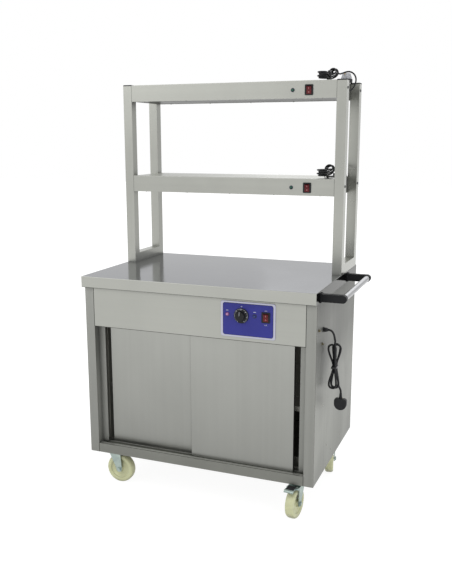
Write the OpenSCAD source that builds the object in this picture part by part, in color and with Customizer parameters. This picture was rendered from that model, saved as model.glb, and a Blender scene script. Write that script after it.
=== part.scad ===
// Mobile heated serving trolley: a hot cupboard with two sliding doors, a worktop,
// a two-tier heated overshelf, a push handle and four swivel castors.
// Millimetres. X runs to the right seen from the front, Y to the back, Z up from the floor.

/* [Worktop] */
// Width of the worktop
top_w = 1000; // [900:10:1100]
// Depth of the worktop
top_d = 700; // [690:5:720]
// Height of the worktop's surface above the floor
top_h = 925; // [915:5:940]
// Height of the worktop's folded edge
edge_h = 46; // [44:1:48]

/* [Cupboard] */
// Gap between the floor and the cupboard's lower edge
clear_h = 148; // [148:1:149]
// Inset of the cupboard's front from the worktop's front edge
front_inset = 22; // [18:1:26]
// Inset of the cupboard's sides from the worktop's ends
side_inset = 2; // [2:1:4]
// Width of each side panel's front fold
post_w = 40; // [36:1:44]
// Height of the plain panel above the doors
fascia_h = 168; // [160:1:176]
// Height of the bottom rail's face
rail_h = 39; // [39:1:41]
// Width of one sliding door
door_w = 438; // [438:1:444]
// Distance of the left door from its closed place
left_door_open = 25; // [0:1:300]
// Distance of the right door from its closed place
right_door_open = 19; // [0:1:300]
// Sheet thickness
sheet = 1.5; // [1.2:0.1:1.8]

/* [Overshelf] */
// Side of the square posts
tube_w = 40; // [38:1:42]
// Depth over the front and rear posts
gantry_d = 285; // [260:5:290]
// Distance of the front posts from the worktop's front edge
gantry_y = 400; // [395:5:405]
// Height of the top shelf's surface above the worktop
top_shelf_h = 785; // [740:5:820]
// Height of the middle shelf's surface above the worktop
middle_shelf_h = 394; // [360:2:420]
// Height of a shelf's edge
shelf_edge = 70; // [66:1:74]

/* [Handle] */
// Distance of the grip's axis from the worktop's end
grip_reach = 85; // [80:1:90]
// Diameter of the grip
grip_d = 25; // [22:1:25]
// Distance between the two brackets' middles
grip_span = 454; // [400:2:480]

/* [Castors] */
// Wheel diameter
wheel_d = 125; // [123:1:125]
// Wheel width
wheel_w = 36; // [34:1:38]
// Distance from the swivel axis to the wheel's axle
trail = 38; // [36:1:40]

/* [Leads] */
// Diameter of the cupboard's mains lead
main_lead_d = 8; // [7.8:0.1:8.2]
// Diameter of the shelves' leads
shelf_lead_d = 6.6; // [6.4:0.1:6.8]

/* [Hidden] */

// The origin is on the floor, below the middle of the whole trolley without its leads
arm_w = 22;
arm_tip_r = 15;
pedal_reach = 106;
bolt_head = 3.6;
castor_front_y = 82;
front_castor_turn = 6;
pedal_w = 40;
reach_x = grip_reach + arm_tip_r;
reach_y = pedal_reach * cos(front_castor_turn) + pedal_w / 2 * sin(front_castor_turn) - castor_front_y;
top_x0 = -(top_w + reach_x - bolt_head) / 2;
top_x1 = top_x0 + top_w;
top_y0 = -(top_d - reach_y) / 2;
top_y1 = top_y0 + top_d;
top_z0 = top_h - edge_h;
half_sheet = sheet / 2;

// Cupboard
cab_x0 = top_x0 + side_inset;
cab_x1 = top_x1 - side_inset;
cab_y0 = top_y0 + front_inset;
cab_y1 = top_y1 - 5;
cab_z0 = clear_h;
cab_z1 = top_z0;
fascia_z0 = cab_z1 - fascia_h;
rail_z1 = cab_z0 + rail_h;
panel_fold = 25;
lip = 2 * sheet;
groove = 21;
ledge_w = 20;
front_lip_y = cab_y0 + ledge_w;
mid_lip_y = front_lip_y + lip + groove;
rear_lip_y = mid_lip_y + lip + groove;
floor_y0 = rear_lip_y + lip;
jamb_w = 29;
jamb_depth = 36;
liner_x0 = cab_x0 + 60;
liner_x1 = cab_x1 - 60;
liner_y1 = cab_y1 - 35;
liner_z1 = fascia_z0 - 8;
groove_floor_z = rail_z1 - 12;

// Doors: the right one runs in the front groove, the left one in the rear groove
door_t = 17;
door_gap = 2;
door_z0 = groove_floor_z + door_gap;
door_z1 = fascia_z0 + 9;
right_door_x1 = cab_x1 - post_w - jamb_w - door_gap - right_door_open;
left_door_x0 = liner_x0 + door_gap + left_door_open;
front_groove_y = front_lip_y + lip + door_gap;
rear_groove_y = mid_lip_y + lip + door_gap;

// Controls, measured from the worktop's left end and the floor
plate_x = top_x0 + 726;
plate_z = 797;
plate_w = 224;
plate_h = 142;
plate_t = 2;
overlay_t = 0.5;
overlay_w = 204;
overlay_h = 126;
knob_x = top_x0 + 700;
knob_z = 813;
red_lamp_x = top_x0 + 642;
blue_lamp_x = top_x0 + 754;
lamp_z = 815;
lamp_hole_r = 4.5;
shaft_r = 3;
running_gap = 0.05;
panel_face_y = cab_y0 - plate_t - overlay_t;
main_switch = [top_x0 + 799, panel_face_y, 813];

// Rocker switches
bezel_w = 34;
bezel_h = 42;
bezel_t = 2.5;
switch_body_w = 27;
switch_body_h = 36;
switch_body_d = 28;
rocker_w = 20;
rocker_h = 30;
rocker_pivot = 7;
rocker_lean = 8;
rocker_pin_r = 1.5;

// Overshelf
gantry_y0 = top_y0 + gantry_y;
gantry_y1 = gantry_y0 + gantry_d;
post_z1 = top_h + top_shelf_h;
middle_z1 = top_h + middle_shelf_h;
tube_wall = 1.5;
shelf_x0 = top_x0 + tube_w;
shelf_x1 = top_x1 - tube_w;
shelf_lamp_x = top_x0 + 778;
shelf_switch_x = top_x0 + 846;
cap_t = 2;
bolt_drop = 30;
base_inset = 4;
shelf_middle_y = (gantry_y0 + gantry_y1) / 2;
top_switch = [shelf_switch_x, gantry_y0, post_z1 - shelf_edge / 2 - 2];
middle_switch = [shelf_switch_x, gantry_y0, middle_z1 - shelf_edge / 2 - 2];

// Earth screws in the right panel, by depth and height
EARTH_SCREWS = [[top_y0 + 54, 772], [top_y0 + 108, 707]];

// Handle
grip_x = top_x1 + grip_reach;
grip_z = 898;
front_arm_y = top_y0 + 67;
rear_arm_y = front_arm_y + grip_span;
arm_h = 2 * arm_tip_r;
socket_depth = 16;

// Castors: [swivel x, swivel y, heading of the trailing wheel, has a brake]
front_castor_in = 78;
rear_castor_in = 62;
rear_castor_y = 544;
CASTORS = [
    [top_x0 + front_castor_in, top_y0 + castor_front_y, 0, false],
    [top_x1 - front_castor_in, top_y0 + castor_front_y, -90 - front_castor_turn, true],
    [top_x0 + rear_castor_in, top_y0 + rear_castor_y, -15, false],
    [top_x1 - rear_castor_in, top_y0 + rear_castor_y, -77, true]
];
castor_plate = [94, 84, 3];
plate_hole_x = 74;
plate_hole_y = 50;
channel_w = 112;
channel_x = 14;
channel_y = 27.5;
kingpin_r = 6;
axle_r = 5;
axle_z = wheel_d / 2;
crown_z = 131;
crown_r = 27;
crown_reach = 46;
race_z = 138;
leg_t = 4;
leg_gap = 1.5;
hub_w = wheel_w + 3;
leg_y = hub_w / 2 + leg_gap;
pedal_x = 60;
pedal_z = 133;
pedal_pin_r = 2.5;

// Mains leads
gland_r = 10;
main_gland_l = 20;
shelf_gland_l = 14;
main_gland = [cab_x1, top_y0 + 122, 761];
top_gland = [shelf_x1, top_y0 + 540, post_z1 - 35];
middle_gland = [shelf_x1, top_y0 + 490, middle_z1 - 35];
layer_gap = 0.8;
waist_gap = 0.8;

// The cupboard's hank, which hangs beside the right panel: [left or right, along, through]
main_hank_at = [top_x1 + 37, top_y0 + 165, 603];
main_loops = 3.25;
main_levels = 4;
main_up = 75;
main_down = 70;
main_r = 14.5;
main_top_shift = [-12, -11, 7, 3];
main_low_shift = [-4, 4, 1, -1];
main_lead_in = 22;
main_tail = 40;
main_tail_shift = 11;
main_route = [[0, 0, 0], [6, 0, 0], [12, 2, -3], [17, 6, -10], [20, 13, -21], [21, 21, -34], [21, 28, -46]];

// The shelves' hanks, whose far lobe stands up
shelf_loops = 3.75;
shelf_levels = 5;
shelf_up = 60;
shelf_down = 45;
shelf_r = 17;
shelf_top_shift = [-17, 2, -2, 1, 10];
shelf_low_shift = [3, -3, 4, -2, 0];
shelf_lead_in = 10;
shelf_tail = 16;
curl_from = 8;
curl_r = 46;
curl_max = 70;
hank_lift = 1.5;
top_hank_at = [top_x0 + 904, top_y0 + 495, post_z1 + hank_lift];
top_hank_turn = 70;
middle_hank_at = [top_x0 + 904, top_y0 + 495, middle_z1 + hank_lift];
middle_hank_turn = 80;
top_route = [[0, 0, 0], [7, 0, 0], [14, 6, 4], [21, 16, 16], [24, 29, 33], [22, 41, 50],
    [13, 52, 66], [-2, 59, 77], [-20, 58, 79]];
middle_route = [[0, 0, 0], [6, 0, 0], [11, 3, 5], [13, 9, 16], [11, 18, 32], [5, 31, 50],
    [-4, 47, 66], [-12, 64, 76], [-19, 82, 80], [-30, 96, 80], [-43, 99, 77]];

// ---------- shapes that repeat ----------

module block(x0, x1, y0, y1, z0, z1) {
    translate([x0, y0, z0]) cube([x1 - x0, y1 - y0, z1 - z0]);
}

// Section drawn in Y and Z, run along X
module along_x(x0, x1) {
    translate([x0, 0, 0]) rotate([90, 0, 90]) linear_extrude(x1 - x0) children();
}

// Section drawn in X and Z, run along Y
module along_y(y0, y1) {
    translate([0, y1, 0]) rotate([90, 0, 0]) linear_extrude(y1 - y0) children();
}

// Plan drawn in X and Y, run along Z
module along_z(z0, z1) {
    translate([0, 0, z0]) linear_extrude(z1 - z0) children();
}

module pin_x(x0, x1, y, z, r) {
    translate([x0, y, z]) rotate([0, 90, 0]) cylinder(h = x1 - x0, r = r, $fn = 32);
}

module pin_y(y0, y1, x, z, r) {
    translate([x, y0, z]) rotate([-90, 0, 0]) cylinder(h = y1 - y0, r = r, $fn = 32);
}

module pin_z(z0, z1, x, y, r) {
    translate([x, y, z0]) cylinder(h = z1 - z0, r = r, $fn = 32);
}

// A strip of sheet folded through a list of 2D points, with rounded bends
module folded(path, t = sheet) {
    for (i = [0 : len(path) - 2]) {
        step = path[i + 1] - path[i];
        translate(path[i]) rotate(atan2(step.y, step.x))
            translate([0, -t / 2]) square([norm(step), t]);
    }
    for (p = path) translate(p) circle(d = t, $fn = 16);
}

module rounded(w, h, r) {
    translate([-w / 2 + r, -h / 2]) square([w - 2 * r, h]);
    translate([-w / 2, -h / 2 + r]) square([w, h - 2 * r]);
    for (x = [-1, 1], y = [-1, 1])
        translate([x * (w / 2 - r), y * (h / 2 - r)]) circle(r, $fn = 24);
}

// Rectangle with rounded upper corners, from the origin
module round_top(w, h, r) {
    translate([r, 0]) square([w - 2 * r, h]);
    square([w, h - r]);
    for (x = [r, w - r]) translate([x, h - r]) circle(r, $fn = 24);
}

// Sheet tray turned upside down: a flat top with four folded edges
module tray(x0, x1, y0, y1, z0, z1, r = 2) {
    w = x1 - x0;
    d = y1 - y0;
    h = z1 - z0;
    difference() {
        intersection() {
            along_x(x0, x1) translate([y0, z0]) round_top(d, h, r);
            along_y(y0, y1) translate([x0, z0]) round_top(w, h, r);
        }
        block(x0 + sheet, x1 - sheet, y0 + sheet, y1 - sheet, z0 - 1, z1 - sheet);
    }
}

// Ring of flat sheet: the inner return at the lower edge of a tray
module return_lips(x0, x1, y0, y1, z, w) {
    difference() {
        block(x0, x1, y0, y1, z, z + sheet);
        block(x0 + w, x1 - w, y0 + w, y1 - w, z - 1, z + sheet + 1);
    }
}

// ---------- worktop and cupboard ----------

module worktop() color([0.68, 0.69, 0.71]) {
    lips = 30;
    hat_w = 60;
    tray(top_x0, top_x1, top_y0, top_y1, top_z0, top_h);
    return_lips(top_x0, top_x1, top_y0, top_y1, top_z0, lips);
    for (y = [top_y0 + 190, top_y1 - 190])
        along_x(top_x0 + 60, top_x1 - 60) translate([y, top_h - sheet])
            folded([[-hat_w / 2 - 12, -half_sheet], [-hat_w / 2, -half_sheet], [-hat_w / 2, -26],
                [hat_w / 2, -26], [hat_w / 2, -half_sheet], [hat_w / 2 + 12, -half_sheet]]);
}

// Plan of a side panel, from its outer rear corner to the jamb beside the doors
module side_plan(depth) {
    jamb_y = jamb_depth - half_sheet;
    folded([[panel_fold, depth - half_sheet], [half_sheet, depth - half_sheet],
        [half_sheet, half_sheet], [post_w - half_sheet, half_sheet],
        [post_w - half_sheet, jamb_y], [post_w + jamb_w - half_sheet, jamb_y]]);
}

module left_side_panel() color([0.60, 0.61, 0.59]) {
    depth = cab_y1 - sheet - cab_y0;
    difference() {
        translate([cab_x0, cab_y0, 0]) along_z(cab_z0, cab_z1) side_plan(depth);
        track_notch(cab_x0 + post_w, cab_x0 + post_w + jamb_w + 1);
        channel_notch(cab_x0 + post_w - 3);
    }
    block(cab_x0 + half_sheet, cab_x0 + channel_x, cab_y0 + 3, cab_y1 - 3, cab_z0, cab_z0 + sheet);
}

module right_side_panel() color([0.60, 0.61, 0.59]) {
    depth = cab_y1 - sheet - cab_y0;
    difference() {
        translate([cab_x1, cab_y0, 0]) mirror([1, 0, 0])
            along_z(cab_z0, cab_z1) side_plan(depth);
        track_notch(cab_x1 - post_w - jamb_w - 1, cab_x1 - post_w);
        channel_notch(cab_x1 - post_w - 1);
        pin_x(cab_x1 - 5, cab_x1 + 5, main_gland.y, main_gland.z, gland_r * 0.7);
        for (p = EARTH_SCREWS) pin_x(cab_x1 - 5, cab_x1 + 5, p.x, p.y, 2.4);
    }
    block(cab_x1 - channel_x, cab_x1 - half_sheet, cab_y0 + 3, cab_y1 - 3, cab_z0, cab_z0 + sheet);
}

// Where a jamb gives way to the bottom rail and to the top guide
module track_notch(x0, x1) {
    block(x0, x1, cab_y0 - 1, floor_y0, cab_z0 - 1, rail_z1 + 0.5);
    block(x0, x1, cab_y0 - 1, floor_y0, fascia_z0 - 0.5, cab_z1 + 1);
}

// Where a side panel's front return gives way to the castor channel
module channel_notch(x0) {
    block(x0, x0 + 4, cab_y0 + channel_y - 0.5, floor_y0, cab_z0 - 1, cab_z0 + 14);
}

module back_panel() color([0.58, 0.59, 0.58]) difference() {
    fold = 15;
    along_x(cab_x0 + sheet, cab_x1 - sheet)
        folded([[cab_y1 - fold, cab_z1 - half_sheet - 1], [cab_y1 - half_sheet, cab_z1 - half_sheet - 1],
            [cab_y1 - half_sheet, cab_z0 + half_sheet], [cab_y1 - half_sheet, cab_z0 + 3]]);
    // the side panels' rear folds pass below the upper fold's ends
    for (x = [cab_x0, cab_x1 - panel_fold - 1])
        block(x, x + panel_fold + 1, cab_y1 - fold - 2, cab_y1 - sheet, cab_z1 - 5, cab_z1);
}

module front_fascia() color([0.70, 0.71, 0.67]) difference() {
    along_x(cab_x0 + post_w + 0.5, cab_x1 - post_w - 0.5)
        folded([[cab_y0 + 18, cab_z1 - half_sheet], [cab_y0 + half_sheet, cab_z1 - half_sheet],
            [cab_y0 + half_sheet, fascia_z0 + half_sheet],
            [cab_y0 + sheet + half_sheet, fascia_z0 + half_sheet],
            [cab_y0 + sheet + half_sheet, fascia_z0 + 14]]);
    pin_y(cab_y0 - 2, cab_y0 + 8, knob_x, knob_z, 6);
    for (x = [red_lamp_x, blue_lamp_x]) pin_y(cab_y0 - 2, cab_y0 + 8, x, lamp_z, lamp_hole_r + 1);
    switch_hole(main_switch);
}

module switch_hole(at) {
    w = switch_body_w + 1;
    h = switch_body_h + 1;
    block(at.x - w / 2, at.x + w / 2, at.y - 2, at.y + 8, at.z - h / 2, at.z + h / 2);
}

// Inverted channel behind the fascia, whose three lips hold the tops of the doors
module top_door_guide() color([0.55, 0.56, 0.55]) {
    z0 = fascia_z0 + 1;
    z1 = fascia_z0 + 16;
    front = front_lip_y + lip / 2;
    mid = mid_lip_y + lip / 2;
    rear = rear_lip_y + lip / 2;
    along_x(cab_x0 + post_w + 0.5, cab_x1 - post_w - 0.5)
        folded([[cab_y0 + lip - half_sheet, z1 + 12], [cab_y0 + lip - half_sheet, z1],
            [front - half_sheet, z1], [front - half_sheet, z0], [front + half_sheet, z0],
            [front + half_sheet, z1], [mid - half_sheet, z1], [mid - half_sheet, z0], [mid + half_sheet, z0],
            [mid + half_sheet, z1], [rear - half_sheet, z1], [rear - half_sheet, z0],
            [rear + half_sheet, z0], [rear + half_sheet, z1]]);
}

// Twin track: a ledge with a drip channel, and three folded lips with two grooves, over a plain face
module bottom_rail() color([0.66, 0.67, 0.64]) {
    face = cab_y0 + half_sheet;
    drip_z = rail_z1 - 6;
    front = front_lip_y + lip / 2;
    mid = mid_lip_y + lip / 2;
    rear = rear_lip_y + lip / 2;
    lip_z = rail_z1 - half_sheet;
    floor_z = groove_floor_z - half_sheet;
    along_x(cab_x0 + post_w + 0.5, cab_x1 - post_w - 0.5)
        folded([[face + 20, cab_z0 + half_sheet], [face, cab_z0 + half_sheet], [face, lip_z],
            [face + sheet * 1.5, lip_z], [face + sheet * 1.5, drip_z], [face + 9, drip_z], [face + 9, lip_z],
            [front + half_sheet, lip_z], [front + half_sheet, floor_z], [mid - half_sheet, floor_z],
            [mid - half_sheet, lip_z], [mid + half_sheet, lip_z], [mid + half_sheet, floor_z],
            [rear - half_sheet, floor_z], [rear - half_sheet, lip_z], [rear + half_sheet, lip_z],
            [rear + half_sheet, floor_z - 8]]);
}

// Inner walls of the cupboard, each with a fold that carries the shelf
module liner_sides() color([0.56, 0.57, 0.57]) {
    ledge_z = 440;
    ledge = 16;
    y0 = floor_y0;
    for (side = [0, 1]) {
        x = side == 0 ? liner_x0 : liner_x1;
        out = side == 0 ? -1 : 1;
        along_z(rail_z1 + sheet, liner_z1)
            folded([[x + out * 17, y0 + half_sheet], [x + out * half_sheet, y0 + half_sheet],
                [x + out * half_sheet, liner_y1 - half_sheet]]);
        along_y(y0 + 12, liner_y1 - 12)
            folded([[x - out * half_sheet, ledge_z - ledge],
                [x - out * half_sheet, ledge_z - half_sheet], [x - out * ledge, ledge_z - half_sheet]]);
    }
}

module liner_back() color([0.56, 0.57, 0.57]) {
    along_x(liner_x0 - 8, liner_x1 + 8)
        folded([[liner_y1 + 15, rail_z1 + sheet * 1.5], [liner_y1 + half_sheet, rail_z1 + sheet * 1.5],
            [liner_y1 + half_sheet, liner_z1 - half_sheet], [liner_y1 + 15, liner_z1 - half_sheet]]);
}

module liner_top() color([0.56, 0.57, 0.57]) {
    along_x(liner_x0 - 12, liner_x1 + 12)
        folded([[floor_y0 + half_sheet, liner_z1 + 20], [floor_y0 + half_sheet, liner_z1 + half_sheet],
            [liner_y1 + 10, liner_z1 + half_sheet], [liner_y1 + 10, liner_z1 + 14]]);
}

module cupboard_floor() color([0.56, 0.57, 0.57]) {
    along_x(liner_x0 - 20, liner_x1 + 20)
        folded([[floor_y0 + half_sheet, rail_z1 - 14], [floor_y0 + half_sheet, rail_z1 + half_sheet],
            [liner_y1 + 16, rail_z1 + half_sheet], [liner_y1 + 16, rail_z1 - 14]]);
}

// Two channels under the floor, which carry the castors
module castor_channels() color([0.50, 0.51, 0.51]) {
    y0 = cab_y0 + channel_y;
    y1 = cab_y1 - 30;
    t = 2;
    for (side = [0, 1]) {
        x0 = side == 0 ? cab_x0 + channel_x : cab_x1 - channel_x - channel_w;
        difference() {
            along_y(y0, y1) folded([[x0 + t / 2, rail_z1 - t / 2], [x0 + t / 2, cab_z0 + t / 2],
                [x0 + channel_w - t / 2, cab_z0 + t / 2], [x0 + channel_w - t / 2, rail_z1 - t / 2]], t);
            for (c = CASTORS) for (h = plate_holes())
                pin_z(cab_z0 - 1, cab_z0 + t + 1, c.x + h.x, c.y + h.y, 4.25);
            // lower walls below the track and the floor's front fold
            block(x0 - 1, x0 + channel_w + 1, y0 - 1, floor_y0 + 3, groove_floor_z - 10, rail_z1 + 1);
        }
    }
}

module inner_shelf() color([0.62, 0.63, 0.63]) {
    z = 440 + half_sheet;
    x0 = liner_x0 + 3;
    x1 = liner_x1 - 3;
    slot_w = 60;
    slots = 7;
    pitch = (x1 - x0 - 60) / slots;
    difference() {
        along_x(x0, x1) folded([[floor_y0 + 22, z - 18], [floor_y0 + 12, z - 18],
            [floor_y0 + 12, z + half_sheet], [liner_y1 - 10, z + half_sheet],
            [liner_y1 - 10, z - 18], [liner_y1 - 20, z - 18]]);
        for (i = [0 : slots - 1], row = [0 : 2])
            translate([x0 + 30 + pitch * (i + 0.5), floor_y0 + 120 + row * 170, z - 5])
                linear_extrude(10) rounded(slot_w, 10, 4.9);
        // the ledges' place under the shelf's two folded edges
        for (x = [x0 - 1, x1 - 18]) block(x, x + 19, floor_y0, liner_y1, z - 25, z);
    }
}

// Sheathed element bent into four runs, on three strips
module heating_element() color([0.35, 0.34, 0.33]) {
    r = 4;
    runs = 4;
    gap = 110;
    x0 = liner_x0 + 110;
    x1 = liner_x1 - 90;
    y0 = floor_y0 + 110;
    z = rail_z1 + sheet + 22;
    for (i = [0 : runs - 1]) pin_x(x0, x1, y0 + i * gap, z, r);
    for (i = [0 : runs - 2]) {
        left = i % 2 == 0;
        translate([left ? x0 : x1, y0 + (i + 0.5) * gap, z]) rotate(left ? 90 : -90)
            rotate_extrude(angle = 180, $fn = 48) translate([gap / 2, 0]) circle(r, $fn = 24);
    }
    for (i = [0, runs - 1]) pin_x(x1 - 1, x1 + 40, y0 + i * gap, z, r * 1.4);
    for (x = [x0 + 60, (x0 + x1) / 2, x1 - 60])
        block(x - 6, x + 6, y0 - 12, y0 + (runs - 1) * gap + 12, rail_z1 + sheet, z - r + 0.6);
}

// Perforated cover over the element
module element_guard() color([0.60, 0.61, 0.61]) {
    z = rail_z1 + sheet + 40;
    x0 = liner_x0 + 8;
    x1 = liner_x1 - 8;
    holes = 12;
    pitch = (x1 - x0 - 60) / holes;
    difference() {
        along_x(x0, x1) folded([[floor_y0 + 20, rail_z1 + sheet * 1.5], [floor_y0 + 12, rail_z1 + sheet * 1.5],
            [floor_y0 + 12, z], [liner_y1 - 12, z], [liner_y1 - 12, rail_z1 + sheet * 1.5],
            [liner_y1 - 20, rail_z1 + sheet * 1.5]]);
        for (i = [0 : holes - 1], row = [0 : 4])
            pin_z(z - 4, z + 4, x0 + 30 + pitch * (i + 0.5), floor_y0 + 90 + row * 100, 9);
    }
}

// ---------- doors ----------

// Hollow sliding door: a folded front and back with small drain holes below
module sliding_door(x0, y0) {
    difference() {
        translate([x0 + door_w / 2, y0 + door_t / 2, door_z0])
            linear_extrude(door_z1 - door_z0) rounded(door_w, door_t, 2);
        block(x0 + 1.2, x0 + door_w - 1.2, y0 + 1.2, y0 + door_t - 1.2, door_z0 + 1.2, door_z1 - 1.2);
        for (x = [x0 + 60, x0 + door_w - 60])
            pin_z(door_z0 - 1, door_z0 + 4, x, y0 + door_t / 2, 4);
    }
    for (x = [x0 + 30, x0 + door_w - 46])
        block(x, x + 16, y0 + 3, y0 + door_t - 3, door_z0 - door_gap + 0.3, door_z0 + 0.1);
}

module left_door() color([0.66, 0.67, 0.64]) sliding_door(left_door_x0, rear_groove_y);

module right_door() color([0.66, 0.67, 0.64]) sliding_door(right_door_x1 - door_w, front_groove_y);

// ---------- controls ----------

module facing_plate(w, h, r, y0, y1) {
    translate([plate_x, y1, plate_z]) rotate([90, 0, 0]) linear_extrude(y1 - y0) rounded(w, h, r);
}

module control_holes() {
    pin_y(panel_face_y - 1, cab_y0 + 1, knob_x, knob_z, 6);
    for (x = [red_lamp_x, blue_lamp_x]) pin_y(panel_face_y - 1, cab_y0 + 1, x, lamp_z, lamp_hole_r + 0.1);
    switch_hole(main_switch);
}

module control_plate() color([0.68, 0.66, 0.74]) difference() {
    facing_plate(plate_w, plate_h, 5, cab_y0 - plate_t, cab_y0);
    control_holes();
}

module control_overlay() color([0.25, 0.25, 0.60]) difference() {
    facing_plate(overlay_w, overlay_h, 8, panel_face_y, cab_y0 - plate_t);
    control_holes();
}

// Thermostat behind the fascia: casing, fixing plate, neck and flatted shaft
module thermostat_body() color([0.75, 0.74, 0.70]) {
    y0 = cab_y0 + sheet;
    block(knob_x - 23, knob_x + 23, y0, y0 + 1.5, knob_z - 17, knob_z + 17);
    block(knob_x - 18, knob_x + 18, y0 + 1, y0 + 28, knob_z - 15, knob_z + 15);
    for (x = [-12, -4, 4, 12])
        block(knob_x + x - 0.5, knob_x + x + 0.5, y0 + 27, y0 + 37, knob_z + 4, knob_z + 10);
    pin_y(cab_y0 - 0.5, y0 + 1, knob_x, knob_z, 5.5);
    difference() {
        pin_y(panel_face_y - 15, y0 + 1, knob_x, knob_z, shaft_r);
        block(knob_x - 4, knob_x + 4, panel_face_y - 16, panel_face_y - 5, knob_z + 1.6, knob_z + 4);
    }
}

// Knob: skirt with a scale, ribbed grip with a raised pointer, blind bore on the shaft
module thermostat_knob() color([0.10, 0.10, 0.11]) {
    back = panel_face_y - 0.8;
    grip_ribs = 24;
    difference() {
        union() {
            translate([knob_x, back, knob_z]) rotate([90, 0, 0]) rotate_extrude($fn = 96)
                polygon([[0, 0], [28, 0], [30, 1], [30, 3], [28.5, 4.5], [21, 6.5],
                    [19.5, 8], [18, 22], [16.5, 24], [0, 24]]);
            for (a = [0 : 360 / grip_ribs : 359])
                translate([knob_x, back - 15, knob_z]) rotate([0, a, 0])
                    translate([18.2, 0, 0]) rotate([90, 0, 0]) cylinder(h = 13, r = 1.1, center = true, $fn = 16);
            block(knob_x - 2.5, knob_x + 2.5, back - 25.5, back - 6, knob_z + 2, knob_z + 20.5);
        }
        pin_y(back - 15.5, back + 1, knob_x, knob_z, shaft_r + running_gap);
    }
}

// Round pilot lamp: bezel, domed lens and a barrel through the panel
module pilot_lamp(x, y, z, depth) {
    translate([x, y, z]) rotate([90, 0, 0]) rotate_extrude($fn = 48)
        polygon([[0, -depth], [lamp_hole_r, -depth], [lamp_hole_r, 0], [8, 0], [8, 1.6],
            [6.8, 2.6], [5.6, 2.6], [5.2, 4], [3.6, 5.4], [1.8, 6], [0, 6.2]]);
}

module pilot_lamps() color([0.10, 0.42, 0.24]) {
    for (x = [red_lamp_x, blue_lamp_x]) pilot_lamp(x, panel_face_y, lamp_z, 22);
    for (s = [top_switch, middle_switch]) pilot_lamp(shelf_lamp_x, gantry_y0, s.z, 22);
}

// Switch housing: bezel, body behind the panel and a well for the rocker
module switch_housing(at) translate(at) {
    well_w = rocker_w + 0.6;
    well_h = rocker_h + 3;
    difference() {
        union() {
            rotate([90, 0, 0]) linear_extrude(bezel_t) rounded(bezel_w, bezel_h, 3);
            block(-switch_body_w / 2, switch_body_w / 2, -0.1, switch_body_d, -switch_body_h / 2, switch_body_h / 2);
        }
        block(-well_w / 2, well_w / 2, -bezel_t - 1, 20, -well_h / 2, well_h / 2);
        pin_x(-switch_body_w / 2 + 1, switch_body_w / 2 - 1, rocker_pivot, 0, rocker_pin_r + running_gap);
    }
    for (z = [-12, 0, 12]) block(-3, 3, switch_body_d - 0.1, switch_body_d + 9, z - 0.4, z + 0.4);
}

module rocker_housings() color([0.07, 0.07, 0.08]) {
    for (s = [main_switch, top_switch, middle_switch]) switch_housing(s);
}

// Rocker: two faces that meet in a shallow V, lying over its pivot pins
module rocker(at) translate([at.x, at.y + rocker_pivot, at.z]) rotate([rocker_lean, 0, 0]) {
    top = -rocker_pivot - bezel_t - 2.2;
    translate([-rocker_w / 2, 0, 0]) rotate([90, 0, 90]) linear_extrude(rocker_w)
        polygon([[top - 1, 14.5], [top + 2.2, 0], [top - 1, -14.5], [top + 2, -14.6], [3, -9],
            [5, 0], [3, 9], [top + 2, 14.6]]);
    pin_x(-rocker_w / 2 - 2, rocker_w / 2 + 2, 0, 0, rocker_pin_r);
}

module main_rocker() color([0.45, 0.06, 0.08]) rocker(main_switch);

module top_rocker() color([0.45, 0.06, 0.08]) rocker(top_switch);

module middle_rocker() color([0.45, 0.06, 0.08]) rocker(middle_switch);

// ---------- overshelf ----------

// Two posts and the foot rail between them, square tube
module end_frame(x0) {
    for (y = [gantry_y0, gantry_y1 - tube_w]) difference() {
        block(x0, x0 + tube_w, y, y + tube_w, top_h, post_z1);
        block(x0 + tube_wall, x0 + tube_w - tube_wall, y + tube_wall, y + tube_w - tube_wall,
            top_h - 1, post_z1 + 1);
        for (z = [post_z1 - bolt_drop, middle_z1 - bolt_drop])
            pin_x(x0 - 1, x0 + tube_w + 1, y + tube_w / 2, z, 3.2);
    }
    difference() {
        block(x0, x0 + tube_w, gantry_y0 + tube_w, gantry_y1 - tube_w, top_h, top_h + tube_w);
        block(x0 + tube_wall, x0 + tube_w - tube_wall, gantry_y0 + tube_w - 1, gantry_y1 - tube_w + 1,
            top_h + tube_wall, top_h + tube_w - tube_wall);
    }
}

module left_end_frame() color([0.70, 0.71, 0.67]) end_frame(top_x0);

module right_end_frame() color([0.70, 0.71, 0.67]) end_frame(top_x1 - tube_w);

module post_caps() color([0.08, 0.08, 0.08]) {
    for (x = [top_x0, top_x1 - tube_w], y = [gantry_y0, gantry_y1 - tube_w])
        translate([x + tube_w / 2, y + tube_w / 2, post_z1]) {
            linear_extrude(cap_t) rounded(tube_w, tube_w, 1.5);
            difference() {
                inner = tube_w - 2 * tube_wall - 0.4;
                translate([0, 0, -12]) linear_extrude(12.1) rounded(inner, inner, 1.5);
                translate([0, 0, -13]) linear_extrude(12) rounded(inner - 4, inner - 4, 1);
            }
        }
}

// Heated shelf: a folded tray with a switch, a lamp and a lead at its right end
module shelf(z1, switch_at, gland_at) difference() {
    union() {
        tray(shelf_x0, shelf_x1, gantry_y0, gantry_y1, z1 - shelf_edge, z1);
        return_lips(shelf_x0, shelf_x1, gantry_y0, gantry_y1, z1 - shelf_edge, 14);
    }
    switch_hole(switch_at);
    pin_y(gantry_y0 - 2, gantry_y0 + 4, shelf_lamp_x, switch_at.z, lamp_hole_r + 0.1);
    pin_x(shelf_x1 - 4, shelf_x1 + 4, gland_at.y, gland_at.z, gland_r * 0.7);
    for (y = [gantry_y0 + tube_w / 2, gantry_y1 - tube_w / 2], x = [shelf_x0, shelf_x1])
        pin_x(x - 4, x + 4, y, z1 - bolt_drop, 3.2);
}

module top_shelf() color([0.70, 0.71, 0.67]) shelf(post_z1, top_switch, top_gland);

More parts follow.
